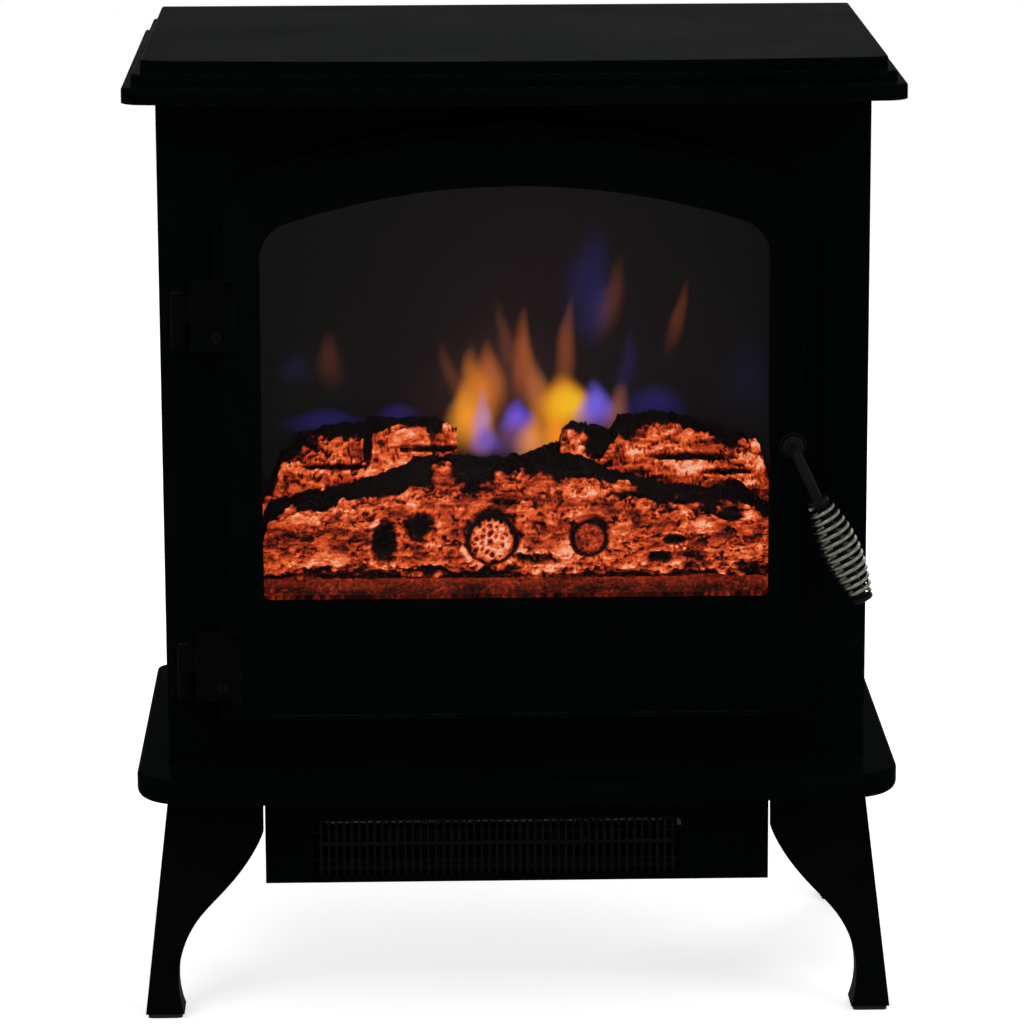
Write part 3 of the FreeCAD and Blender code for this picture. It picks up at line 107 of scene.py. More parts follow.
def addBackground():
    world = bpy.data.worlds.new("studio")
    scene.world = world
    world.use_nodes = True
    tree = world.node_tree
    strength = tree.nodes.new("ShaderNodeMapRange")
    tree.links.new(seenRays(tree), strength.inputs["Value"])
    strength.inputs["To Min"].default_value = backSet["lit"]
    strength.inputs["To Max"].default_value = 1.0
    tree.links.new(strength.outputs[0], tree.nodes["Background"].inputs["Strength"])
    tree.nodes["Background"].inputs["Color"].default_value = (1, 1, 1, 1)
    bpy.ops.mesh.primitive_plane_add(size=backSet["floorSize"], location=(0, 0, backSet["floorLow"]))
    floor = bpy.context.object
    floor.name = "floor"
    look = bpy.data.materials.new("paleFloor")
    look.use_nodes = True
    tree = look.node_tree
    shader = tree.nodes["Principled BSDF"]
    shader.inputs["Base Color"].default_value = backSet["floorColour"]
    shader.inputs["Roughness"].default_value = backSet["floorRough"]
    shader.inputs["Specular IOR Level"].default_value = 0.0
    shader.inputs["Emission Color"].default_value = (1, 1, 1, 1)
    glow = tree.nodes.new("ShaderNodeMath")
    glow.operation = "MULTIPLY"
    tree.links.new(seenRays(tree), glow.inputs[0])
    glow.inputs[1].default_value = backSet["floorGlow"]
    tree.links.new(glow.outputs[0], shader.inputs["Emission Strength"])
    floor.data.materials.append(look)


addCamera()
addLamps()
addBackground()
print("camera, lamps and background set")


# Node helpers and shader groups
def putNode(tree, kind, links=None, values=None, **traits):
    node = tree.nodes.new("ShaderNode" + kind)
    for key, value in traits.items():
        setattr(node, key, value)
    for key, value in (values or {}).items():
        node.inputs[key].default_value = value
    for key, source in (links or {}).items():
        tree.links.new(source, node.inputs[key])
    return node


def doMath(tree, how, first, second=None, clamp=False):
    node = putNode(tree, "Math", operation=how, use_clamp=clamp)
    for place, value in enumerate((first, second)):
        if isinstance(value, (int, float)):
            node.inputs[place].default_value = value
        elif value is not None:
            tree.links.new(value, node.inputs[place])
    return node.outputs[0]


def remap(tree, value, low, high, newLow, newHigh, kind="LINEAR"):
    node = putNode(tree, "MapRange", {"Value": value}, {"From Min": low, "From Max": high,
                   "To Min": newLow, "To Max": newHigh}, interpolation_type=kind)
    return node.outputs[0]


def mixColour(tree, amount, first, second, blend="MIX"):
    node = putNode(tree, "Mix", data_type="RGBA", blend_type=blend)
    for place, value in ((0, amount), (6, first), (7, second)):
        if isinstance(value, (int, float)):
            node.inputs[place].default_value = value
        elif isinstance(value, tuple):
            node.inputs[place].default_value = value + (1,) if len(value) == 3 else value
        else:
            tree.links.new(value, node.inputs[place])
    return node.outputs[2]


def newGroup(name, inputs, outputs):
    group = bpy.data.node_groups.new(name, "ShaderNodeTree")
    for label, value in inputs.items():
        kind = "NodeSocketVector" if value is None else "NodeSocketFloat"
        socket = group.interface.new_socket(label, in_out="INPUT", socket_type=kind)
        if value is not None:
            socket.default_value = value
    for label, kind in outputs.items():
        group.interface.new_socket(label, in_out="OUTPUT", socket_type="NodeSocket" + kind)
    return group, group.nodes.new("NodeGroupInput").outputs, group.nodes.new("NodeGroupOutput").inputs


def makeGrainGroup():
    group, given, put = newGroup("surfaceGrain", {"Vector": None, "Fine": 900.0, "Coarse": 25.0},
                                 {"Mottle": "Float", "Grain": "Float", "Height": "Float"})
    fine = putNode(group, "TexNoise", {"Vector": given["Vector"], "Scale": given["Fine"]},
                   {"Detail": 3.0, "Roughness": 0.6})
    coarse = putNode(group, "TexNoise", {"Vector": given["Vector"], "Scale": given["Coarse"]},
                     {"Detail": 6.0, "Roughness": 0.65})
    pits = putNode(group, "TexVoronoi", {"Vector": given["Vector"], "Scale": given["Fine"]})
    mottle = remap(group, coarse.outputs["Fac"], 0.35, 0.68, 0, 1)
    grain = remap(group, fine.outputs["Fac"], 0.3, 0.7, 0, 1)
    height = doMath(group, "ADD", doMath(group, "MULTIPLY", grain, 0.6),
                    doMath(group, "MULTIPLY", pits.outputs["Distance"], 0.4))
    group.links.new(mottle, put["Mottle"])
    group.links.new(grain, put["Grain"])
    group.links.new(height, put["Height"])
    return group


def makeEdgeGroup():
    group, given, put = newGroup("edgeWearAndHighlight", {"Vector": None, "Radius": 0.0008},
                                 {"Edge": "Float", "Normal": "Vector"})
    rounded = putNode(group, "Bevel", {"Radius": given["Radius"]}, samples=4)
    facing = putNode(group, "NewGeometry")
    match = putNode(group, "VectorMath", {0: rounded.outputs[0], 1: facing.outputs["Normal"]},
                    operation="DOT_PRODUCT")
    edge = remap(group, match.outputs["Value"], 1.0, 0.85, 0, 1)
    broken = putNode(group, "TexNoise", {"Vector": given["Vector"]}, {"Scale": 160.0, "Detail": 5.0})
    # Edge mask, broken up by noise: partly real edge wear and partly a painted highlight on the rounded edges
    wearAndHighlight = doMath(group, "MULTIPLY", edge, remap(group, broken.outputs["Fac"], 0.4, 0.62, 0.15, 1))
    group.links.new(wearAndHighlight, put["Edge"])
    group.links.new(rounded.outputs[0], put["Normal"])
    return group


def makeTongueGroup():
    group, given, put = newGroup("flameTongue", {"Vector": None, "Across": 0.0, "Up": 0.3, "Wide": 0.01,
                                 "Tall": 0.02, "Lean": 0.0}, {"Mask": "Float"})
    place = putNode(group, "SeparateXYZ", {0: given["Vector"]}).outputs
    rise = doMath(group, "SUBTRACT", place["Z"], given["Up"])
    waver = putNode(group, "TexNoise", {"Vector": given["Vector"]}, {"Scale": 42.0, "Detail": 2.0})
    sway = doMath(group, "MULTIPLY", doMath(group, "SUBTRACT", waver.outputs["Fac"], 0.5), 0.009)
    middle = doMath(group, "ADD", given["Across"], doMath(group, "MULTIPLY", rise, given["Lean"]))
    aside = doMath(group, "ADD", doMath(group, "SUBTRACT", place["X"], middle), sway)
    height = doMath(group, "DIVIDE", rise, given["Tall"])
    taper = doMath(group, "SUBTRACT", 1.0, doMath(group, "MULTIPLY", height, 0.42))
    width = doMath(group, "MAXIMUM", doMath(group, "MULTIPLY", given["Wide"], taper), 0.0004)
    across = doMath(group, "DIVIDE", aside, width)
    reach = doMath(group, "SQRT", doMath(group, "ADD", doMath(group, "MULTIPLY", across, across),
                                        doMath(group, "MULTIPLY", height, height)))
    group.links.new(remap(group, reach, 1.35, 0.05, 0, 1, "SMOOTHSTEP"), put["Mask"])
    return group


grainGroup = makeGrainGroup()
edgeGroup = makeEdgeGroup()
tongueGroup = makeTongueGroup()


def useGroup(tree, group, links, values=None):
    node = tree.nodes.new("ShaderNodeGroup")
    node.node_tree = group
    for key, source in links.items():
        tree.links.new(source, node.inputs[key])
    for key, value in (values or {}).items():
        node.inputs[key].default_value = value
    return node.outputs


def newMaterial(name, fixed):
    made = bpy.data.materials.new(name)
    made.use_nodes = True
    tree = made.node_tree
    shader = tree.nodes["Principled BSDF"]
    for key, value in fixed.items():
        shader.inputs[key].default_value = value + (1,) if isinstance(value, tuple) else value
    place = putNode(tree, "TexCoord").outputs["Object"]
    return made, tree, shader, place


# Finishes of the metal, plastic and rubber pieces, by material slot
# Each edge colour is lighter than its body colour: partly edge wear and partly a painted edge highlight
finishSet = {
    "black_paint": {"colour": (0.0011, 0.0018, 0.0016), "other": (0.0017, 0.0027, 0.0025), "rough": (0.32, 0.44),
                    "specular": 0.0003, "fine": 1500.0, "coarse": 9.0, "bump": 0.12, "wearAndHighlight": (0.010, 0.0145, 0.0135)},
    "cast_black": {"colour": (0.0014, 0.0018, 0.0017), "other": (0.0022, 0.0028, 0.0026), "rough": (0.4, 0.6),
                   "specular": 0.002, "fine": 700.0, "coarse": 30.0, "bump": 0.3, "wearAndHighlight": (0.008, 0.01, 0.0095)},
    "rear_sheet": {"colour": (0.0028, 0.0033, 0.0031), "other": (0.0045, 0.005, 0.005), "rough": (0.42, 0.6),
                   "specular": 0.15, "fine": 1100.0, "coarse": 12.0, "bump": 0.15, "wearAndHighlight": (0.02, 0.022, 0.022)},
    "lining_black": {"colour": (0.0022, 0.0022, 0.0023), "other": (0.0034, 0.0033, 0.0033), "rough": (0.65, 0.85),
                     "specular": 0.08, "fine": 800.0, "coarse": 18.0, "bump": 0.15, "wearAndHighlight": (0.006, 0.006, 0.006)},
    "foot_rubber": {"colour": (0.006, 0.006, 0.006), "other": (0.012, 0.012, 0.011), "rough": (0.7, 0.9),
                    "specular": 0.2, "fine": 900.0, "coarse": 60.0, "bump": 0.4, "wearAndHighlight": (0.03, 0.03, 0.028)},
    "zinc_steel": {"colour": (0.42, 0.42, 0.43), "other": (0.3, 0.3, 0.32), "rough": (0.22, 0.45),
                   "metallic": 1.0,
                   "fine": 1400.0, "coarse": 90.0, "bump": 0.12, "wearAndHighlight": (0.6, 0.6, 0.6)},
    "screw_black": {"colour": (0.002, 0.0022, 0.0022), "other": (0.004, 0.004, 0.004), "rough": (0.35, 0.5),
                    "specular": 0.01, "fine": 1200.0, "coarse": 60.0, "bump": 0.15, "wearAndHighlight": (0.016, 0.016, 0.015)},
    "heater_fins": {"colour": (0.010, 0.010, 0.011), "other": (0.02, 0.018, 0.017), "rough": (0.45, 0.6),
                    "specular": 0.1, "fine": 900.0, "coarse": 80.0, "bump": 0.15, "wearAndHighlight": (0.05, 0.05, 0.05)},
    "rod_black": {"colour": (0.004, 0.004, 0.0042), "other": (0.007, 0.007, 0.0068), "rough": (0.3, 0.44),
                  "specular": 0.03, "fine": 1200.0, "coarse": 60.0, "bump": 0.15, "wearAndHighlight": (0.035, 0.034, 0.032)},
    "spring_nickel": {"colour": (0.15, 0.155, 0.125), "other": (0.1, 0.105, 0.082), "rough": (0.24, 0.34),
                      "metallic": 1.0, "fine": 2200.0, "coarse": 160.0, "bump": 0.06, "wearAndHighlight": (0.2, 0.2, 0.17)},
    "brass_bush": {"colour": (0.55, 0.4, 0.17), "other": (0.4, 0.28, 0.11), "rough": (0.25, 0.42),
                   "metallic": 1.0,
                   "fine": 1500.0, "coarse": 120.0, "bump": 0.1, "wearAndHighlight": (0.7, 0.55, 0.3)},
    "gasket_tape": {"colour": (0.02, 0.02, 0.02), "other": (0.035, 0.034, 0.033), "rough": (0.8, 0.95),
                    "specular": 0.2, "fine": 1300.0, "coarse": 200.0, "bump": 0.6, "wearAndHighlight": (0.05, 0.05, 0.05)},
    "motor_steel": {"colour": (0.5, 0.5, 0.5), "other": (0.38, 0.38, 0.39), "rough": (0.28, 0.5),
                    "metallic": 1.0,
                    "fine": 1300.0, "coarse": 50.0, "bump": 0.12, "wearAndHighlight": (0.65, 0.65, 0.65)},
    "rotor_foil": {"colour": (0.8, 0.8, 0.8), "other": (0.66, 0.66, 0.67), "rough": (0.08, 0.2),
                   "metallic": 1.0,
                   "fine": 500.0, "coarse": 70.0, "bump": 0.3, "wearAndHighlight": (0.9, 0.9, 0.9)},
    "switch_plastic": {"colour": (0.0028, 0.0028, 0.003), "other": (0.0042, 0.0042, 0.0042), "rough": (0.4, 0.58),
                       "specular": 0.02, "fine": 1800.0, "coarse": 40.0, "bump": 0.2, "wearAndHighlight": (0.009, 0.009, 0.009)},
    "element_fins": {"colour": (0.52, 0.52, 0.53), "other": (0.4, 0.4, 0.42), "rough": (0.25, 0.4),
                     "metallic": 1.0,
                     "fine": 1100.0, "coarse": 80.0, "bump": 0.12, "wearAndHighlight": (0.7, 0.7, 0.7)},
    "circuit_board": {"colour": (0.012, 0.07, 0.03), "other": (0.02, 0.1, 0.045), "rough": (0.3, 0.45),
                      "specular": 0.4, "fine": 600.0, "coarse": 140.0, "bump": 0.15, "wearAndHighlight": (0.2, 0.17, 0.08)},
}
edgeRadius = 0.0009
grainDepth = 0.0004


def finishMaterial(name, look):
    fixed = {"Metallic": look.get("metallic", 0.0), "Specular IOR Level": look.get("specular", 0.5)}
    made, tree, shader, place = newMaterial(name, fixed)
    grain = useGroup(tree, grainGroup, {"Vector": place}, {"Fine": look["fine"], "Coarse": look["coarse"]})
    edge = useGroup(tree, edgeGroup, {"Vector": place}, {"Radius": edgeRadius})
    body = mixColour(tree, grain["Mottle"], look["colour"], look["other"])
    # Edges take the lighter edge colour: partly real wear and partly a painted edge highlight
    tree.links.new(mixColour(tree, edge["Edge"], body, look["wearAndHighlight"]), shader.inputs["Base Color"])
    low, high = look["rough"]
    blend = doMath(tree, "ADD", doMath(tree, "MULTIPLY", grain["Mottle"], 0.6),
                   doMath(tree, "MULTIPLY", grain["Grain"], 0.4))
    tree.links.new(remap(tree, blend, 0, 1, low, high), shader.inputs["Roughness"])
    bump = putNode(tree, "Bump", {"Height": grain["Height"], "Normal": edge["Normal"]},
                   {"Strength": look["bump"], "Distance": grainDepth})
    tree.links.new(bump.outputs[0], shader.inputs["Normal"])
    return made


# Door glass
glassSet = {"ior": 1.06, "tint": (0.86, 0.87, 0.87), "rough": (0.0, 0.05)}


def glassMaterial():
    fixed = {"Transmission Weight": 1.0, "IOR": glassSet["ior"], "Metallic": 0.0}
    made, tree, shader, place = newMaterial("smokyGlass", fixed)
    grain = useGroup(tree, grainGroup, {"Vector": place}, {"Fine": 300.0, "Coarse": 14.0})
    haze = mixColour(tree, grain["Mottle"], glassSet["tint"], tuple(c * 0.96 for c in glassSet["tint"]))
    tree.links.new(haze, shader.inputs["Base Color"])
    low, high = glassSet["rough"]
    tree.links.new(remap(tree, grain["Mottle"], 0, 1, low, high), shader.inputs["Roughness"])
    return made


# Flame glow painted in the screen's emission, standing in for the projected light: across, up, half width, half
# height (mm), lean, colour, strength
flameSet = [
    (8.5, 367.3, 100, 100, 0.0, (0.007, 0.0029, 0.0037), 1.0),
    (-6.3, 329.3, 48.6, 42.3, 0.0, (0.0244, 0.0076, 0.0074), 1.0),
    (42.5, 392, 13, 28, 0.1, (0.0056, 0.0059, 0.0492), 1.0),
    (46.5, 373.7, 7.5, 20, 0.1, (0.0132, 0.0092, 0.0492), 0.8),
    (55.4, 382, 6.3, 22, 0.2, (0.0658, 0.0185, 0.0041), 1.0),
    (92.1, 371.5, 4, 19, 0.28, (0.094, 0.0202, 0.0041), 1.0),
    (-101.4, 348, 7.4, 16, -0.06, (0.0517, 0.0126, 0.0066), 1.0),
    (-119.4, 343, 9.5, 11, 0.0, (0.0047, 0.0034, 0.0205), 1.0),
    (-103.5, 313, 22, 7, 0.0, (0.0113, 0.0084, 0.082), 1.0),
    (-64, 317, 12, 6, 0.0, (0.0132, 0.0084, 0.0902), 1.0),
    (79, 322, 17, 10, 0.0, (0.0113, 0.0084, 0.0902), 1.0),
    (63.5, 344.1, 4.7, 20, 0.2, (0.0075, 0.005, 0.041), 1.0),
    (131, 338.8, 14, 26, 0.0, (0.0019, 0.0025, 0.0115), 1.0),
    (-33.8, 337.7, 5.2, 20, -0.34, (0.1222, 0.0302, 0.0049), 0.6),
    (-20, 329.3, 9.51, 21.1, -0.12, (0.62, 0.176, 0.017), 1.0),
    (-24.2, 314.4, 11.6, 18, -0.12, (0.95, 0.3168, 0.0255), 1.0),
    (-11, 336, 7.9, 19, -0.14, (0.46, 0.1144, 0.0136), 0.9),
    (-3.1, 355, 4.75, 24, -0.2, (0.2068, 0.0504, 0.0082), 0.4),
    (5.8, 348, 5.9, 25, -0.04, (0.33, 0.0748, 0.0119), 0.9),
    (15.4, 327.1, 7.4, 19, -0.25, (0.42, 0.1232, 0.0255), 0.9),
    (30.6, 353, 5.4, 26, 0.08, (0.2068, 0.0487, 0.0115), 0.9),
    (25.5, 305, 10.6, 15.8, 0.0, (1, 0.2992, 0.017), 1.0),
    (11.5, 301.7, 9.51, 15.8, 0.0, (0.85, 0.2816, 0.0425), 0.9),
    (28.6, 322, 14.8, 15, 0.0, (1, 0.3168, 0.0068), 1.1),
    (30.5, 322, 11.5, 11.5, 0.0, (1, 0.5456, 0.017), 1.0),
    (3.2, 315, 7.5, 9, 0.1, (0.1504, 0.084, 0.697), 0.9),
    (1.1, 303.9, 11.6, 13.7, 0.0, (0.1316, 0.0504, 0.1312), 0.9),
    (-16.8, 311.3, 5.28, 16.9, 0.05, (0.55, 0.264, 0.527), 0.8),
    (-14.7, 301.7, 7.4, 8.45, 0.0, (0.1504, 0.084, 0.615), 0.7),
    (45.5, 320.8, 8.8, 12.5, 0.0, (0.188, 0.126, 0.82), 0.95),
    (57.4, 317.6, 7.4, 14.8, 0.15, (0.282, 0.084, 0.0492), 0.8),
]
screenSet = {"back": (0.0044, 0.0035, 0.0037), "skin": (0.0022, 0.002, 0.002), "rough": (0.3, 0.5),
             "shade": {"Across": -0.005, "Up": 0.36, "Wide": 0.16, "Tall": 0.13}, "shadeColour": (0.0022, 0.0011, 0.0012),
             "shadeAmount": 0.85}


def screenMaterial():
    made, tree, shader, place = newMaterial("flameScreen", {"Specular IOR Level": 0.05,
                                                            "Emission Strength": 1.0})
    grain = useGroup(tree, grainGroup, {"Vector": place}, {"Fine": 700.0, "Coarse": 10.0})
    tree.links.new(mixColour(tree, grain["Mottle"], screenSet["skin"],
                             tuple(c * 1.4 for c in screenSet["skin"])),
                   shader.inputs["Base Color"])
    low, high = screenSet["rough"]
    tree.links.new(remap(tree, grain["Grain"], 0, 1, low, high), shader.inputs["Roughness"])
    flameGlow = mixColour(tree, grain["Mottle"], screenSet["back"],
                        tuple(c * 0.86 for c in screenSet["back"]))
    # Painted shade darkens the centre of the screen's flame glow
    shade = useGroup(tree, tongueGroup, {"Vector": place}, screenSet["shade"])["Mask"]
    flameGlow = mixColour(tree, doMath(tree, "MULTIPLY", shade, screenSet["shadeAmount"]), flameGlow,
                        screenSet["shadeColour"])
    for across, up, wide, tall, lean, colour, strength in flameSet:
        mask = useGroup(tree, tongueGroup, {"Vector": place}, {"Across": across * mm, "Up": up * mm,
                                                               "Wide": wide * mm,
                        "Tall": tall * mm, "Lean": lean})["Mask"]
        amount = doMath(tree, "MULTIPLY", mask, strength)
        bright = sum(colour) > 0.6
        flameGlow = mixColour(tree, amount, flameGlow, colour, "MIX" if bright else "ADD")
    # The flame glow is painted light, sent to the emission colour
    tree.links.new(flameGlow, shader.inputs["Emission Color"])
    return made


# Glowing resin of the logs and the bed
glowSet = {"dark": (0.0012, 0.0006, 0.0006), "ash": (0.006, 0.004, 0.0036), "warpScale": 45.0,
           "warpReach": 0.012,
           "rough": (0.6, 0.9), "bump": 0.8, "bumpDepth": 0.0012,
           "steps": ((0.0, (0.0008, 0.0, 0.0)), (0.15, (0.024, 0.0019, 0.0008)), (0.33, (0.125, 0.009, 0.002)),
                     (0.53, (0.42, 0.036, 0.0075)), (0.74, (0.86, 0.115, 0.024)), (0.9, (0.97, 0.235, 0.075)),
                     (1.0, (1.0, 0.48, 0.32)))}


def glowMaterial(name, look):
    made, tree, shader, place = newMaterial(name, {"Specular IOR Level": 0.12,
                                                   "Emission Strength": look["strength"]})
    # The glowLevel attribute drives the painted glow of the emission, which stands in for the light behind the resin
    glowAmount = putNode(tree, "Attribute", attribute_name="glowLevel").outputs["Fac"]
    turned = putNode(tree, "Mapping", {"Vector": place}, {"Scale": look["stretch"]})
    warp = putNode(tree, "TexNoise", {"Vector": turned.outputs[0]}, {"Scale": glowSet["warpScale"],
                                                                     "Detail": 3.0})
    pushed = putNode(tree, "VectorMath", {0: warp.outputs["Color"]}, {1: (glowSet["warpReach"],) * 3},
                     operation="MULTIPLY")
    moved = putNode(tree, "VectorMath", {0: turned.outputs[0], 1: pushed.outputs[0]}, operation="ADD")
    fibre = putNode(tree, "TexNoise", {"Vector": moved.outputs[0]}, {"Scale": look["fibre"], "Detail": 7.0,
                    "Roughness": 0.68})
    fleck = putNode(tree, "TexNoise", {"Vector": place}, {"Scale": look["fleck"], "Detail": 4.0,
                                                          "Roughness": 0.6})
    lift = remap(tree, fibre.outputs["Fac"], 0.36, 0.64, -look["contrast"], look["contrast"])
    spot = remap(tree, fleck.outputs["Fac"], 0.35, 0.65, -look["spot"], look["spot"])
    level = doMath(tree, "ADD", doMath(tree, "ADD", glowAmount, lift), spot)
    gate = doMath(tree, "MULTIPLY", level, remap(tree, glowAmount, 0.04, 0.3, 0, 1, "SMOOTHSTEP"), clamp=True)
    ramp = putNode(tree, "ValToRGB", {"Fac": gate})
    steps = ramp.color_ramp.elements
    while len(steps) < len(glowSet["steps"]):
        steps.new(0.5)
    for step, (where, colour) in zip(steps, glowSet["steps"]):
        step.position = where
        step.color = colour + (1,)
    tree.links.new(ramp.outputs["Color"], shader.inputs["Emission Color"])
    ash = mixColour(tree, fleck.outputs["Fac"], glowSet["dark"], glowSet["ash"])
    tree.links.new(ash, shader.inputs["Base Color"])
    low, high = glowSet["rough"]
    tree.links.new(remap(tree, fibre.outputs["Fac"], 0.3, 0.7, low, high), shader.inputs["Roughness"])
    height = doMath(tree, "ADD", fibre.outputs["Fac"], doMath(tree, "MULTIPLY", fleck.outputs["Fac"], 0.5))
    bump = putNode(tree, "Bump", {"Height": height}, {"Strength": glowSet["bump"],
                                                      "Distance": glowSet["bumpDepth"]})
    tree.links.new(bump.outputs[0], shader.inputs["Normal"])
    return made


materialSet = {slot: finishMaterial(slot, look) for slot, look in finishSet.items()}
materialSet["door_glass"] = glassMaterial()
materialSet["screen_plastic"] = screenMaterial()
materialSet["log_resin"] = glowMaterial("glowingLog", {"strength": 1.0, "stretch": (0.35, 1, 1),
                                                       "fibre": 420.0,
                                        "fleck": 1000.0, "contrast": 0.21, "spot": 0.10})
materialSet["ember_resin"] = glowMaterial("glowingBed", {"strength": 1.0, "stretch": (1, 1, 1),
                                                         "fibre": 330.0,
                                          "fleck": 1100.0, "contrast": 0.13, "spot": 0.12})
for part in frame["record"]["subparts"]:
    node = nodes[part["node"]]
    if not node.material_slots:
        node.data.materials.append(None)
    for place in node.material_slots:
        place.material = materialSet[part["material_slot"]]
print("materials made and given to the frame's nodes")


# Logs: tables of top height along x and of knots and hollows, all in mm
def smooth(low, high, value):
    share = min(max((value - low) / (high - low), 0.0), 1.0)
    return share * share * (3 - 2 * share)


def alongTable(table, value):
    if value <= table[0][0]:
        return table[0][1]
    for (x0, v0), (x1, v1) in zip(table, table[1:]):
        if value <= x1:
            return v0 + (v1 - v0) * smooth(x0, x1, value)
    return table[-1][1]


logSet = {
    "frontLog": {"node": "front_log", "ends": (-143, 143), "middle": -42.0, "deep": 25.0, "low": 238.3,
                 "seed": 3.1,
                 "cuts": (19, 19), "around": 200, "centre": 0.42, "swell": 0.96, "char": 9.0,
                 "top": ((-142.7, 261.1), (-133.2, 279.1), (-111, 283.3), (-85.7, 289.7), (-61.3, 295),
                         (-53.9, 301.3), (-40.2, 303.4),
                         (-12.7, 302.4), (6.3, 302.4), (14.3, 306.6), (22.2, 302.4), (38.1, 300.3), (57.1, 292.8), (84.6, 286.5), (104.7, 282.3),
                         (120.6, 286.5), (139.6, 277), (159.7, 256.8)),
                 "knots": ((-12.8, 261.4, 13.2, 13.2, 1.0), (40.3, 261.9, 9.51, 10.1, 0.42)),
                 "hollows": ((-71.2, 259.8, 6.87, 12.7, 6.0), (-51.9, 268.3, 8.98, 8.45, 7.0), (-104.2, 282, 6.87, 5.28, 4.0),
                             (78.2, 250.3, 8.45, 3.7, 4.0), (104.7, 237.6, 9.51, 5.28, 4.0), (86.7, 260.9, 6.34, 3.17, 3.0), (118.4, 274.6, 8.45, 4.23, 3.0),
                             (-116.4, 232.3, 11.6, 6.34, 3.0), (-46.6, 243.9, 12.7, 3.17, 3.0), (147, 234.4, 10.6, 8.45, 4.0),
                             (11.6, 250.3, 14.8, 3.17, 3.0))},
    "leftLog": {"node": "left_log", "ends": (-143, -31), "middle": -9.0, "deep": 13.5, "low": 238.3,
                "seed": 7.7,
                "cuts": (15, 15), "around": 140, "centre": 0.5, "swell": 0.9, "char": 7.0,
                "top": ((-142.7, 272), (-136.3, 285.7), (-125.8, 301.6), (-115.2, 309), (-91.9, 315.4),
                        (-76.1, 318.5), (-40.1, 317.5),
                        (-30.6, 314.3), (-24.3, 301.6)),
                "knots": (), "hollows": ((-80.3, 304.8, 2.64, 12.7, 3.5), (-46.5, 302.7, 21.1, 2.32, 3.0),
                                         (-97.2, 293.1, 23.2, 2.11, 2.5))},
    "rightLog": {"node": "right_log", "ends": (16, 143), "middle": -9.0, "deep": 13.5, "low": 238.3,
                 "seed": 5.3,
                 "cuts": (15, 16), "around": 140, "centre": 0.5, "swell": 0.9, "char": 7.0,
                 "top": ((25.4, 304.8), (27.5, 311.1), (32.8, 313.8), (46.6, 311.1), (54, 310.1), (59.2, 317.5), (68.8, 319), (86.7, 319.6),
                         (105.8, 314.8), (125.9, 307.9), (134.3, 302.6), (142.8, 291), (159.8, 269.8)),
                 "knots": (), "hollows": ((45.5, 303.7, 7.4, 7.4, 4.0), (95.2, 297.4, 25.4, 2.54, 3.0),
                                          (118.5, 288.9, 15.8, 2.11, 2.5))},
}


# Sizes of the skin's features in mm, along the log and round it
skinSet = {"lump": (26, 15), "chip": (10, 7), "fine": (5.5, 2.6), "strand": (30, 8, 6.5), "crack": 0.1}
smoothAngle = 50


def ruggedSkin(x, y, z, seed):
    lumpX, lumpR = skinSet["lump"]
    chipX, chipR = skinSet["chip"]
    fineX, fineR = skinSet["fine"]
    strandX, strandY, strandZ = skinSet["strand"]
    flow = Vector((x / lumpX + seed, y / lumpR, z / lumpR))
    lump = noise.fractal(flow, 0.8, 2.1, 4)
    bend = lump * 0.8
    near, second = noise.voronoi(Vector((x / chipX + seed * 2 + bend, y / chipR + bend,
                                         z / chipR + bend * 1.6)))[0][:2]
    chip = smooth(0.0, 0.26, second - near)
    fine = noise.fractal(Vector((x / fineX, y / fineR + bend * 2, z / fineR + seed)), 0.7, 2.2, 3)
    strandPlace = Vector((x / strandX - seed, y / strandY + bend * 1.5, z / strandZ + bend * 1.5))
    strand = noise.fractal(strandPlace, 0.9, 2.0, 3)
    crack = smooth(skinSet["crack"], 0.0, abs(strand))
    return lump, chip, fine, strand, crack


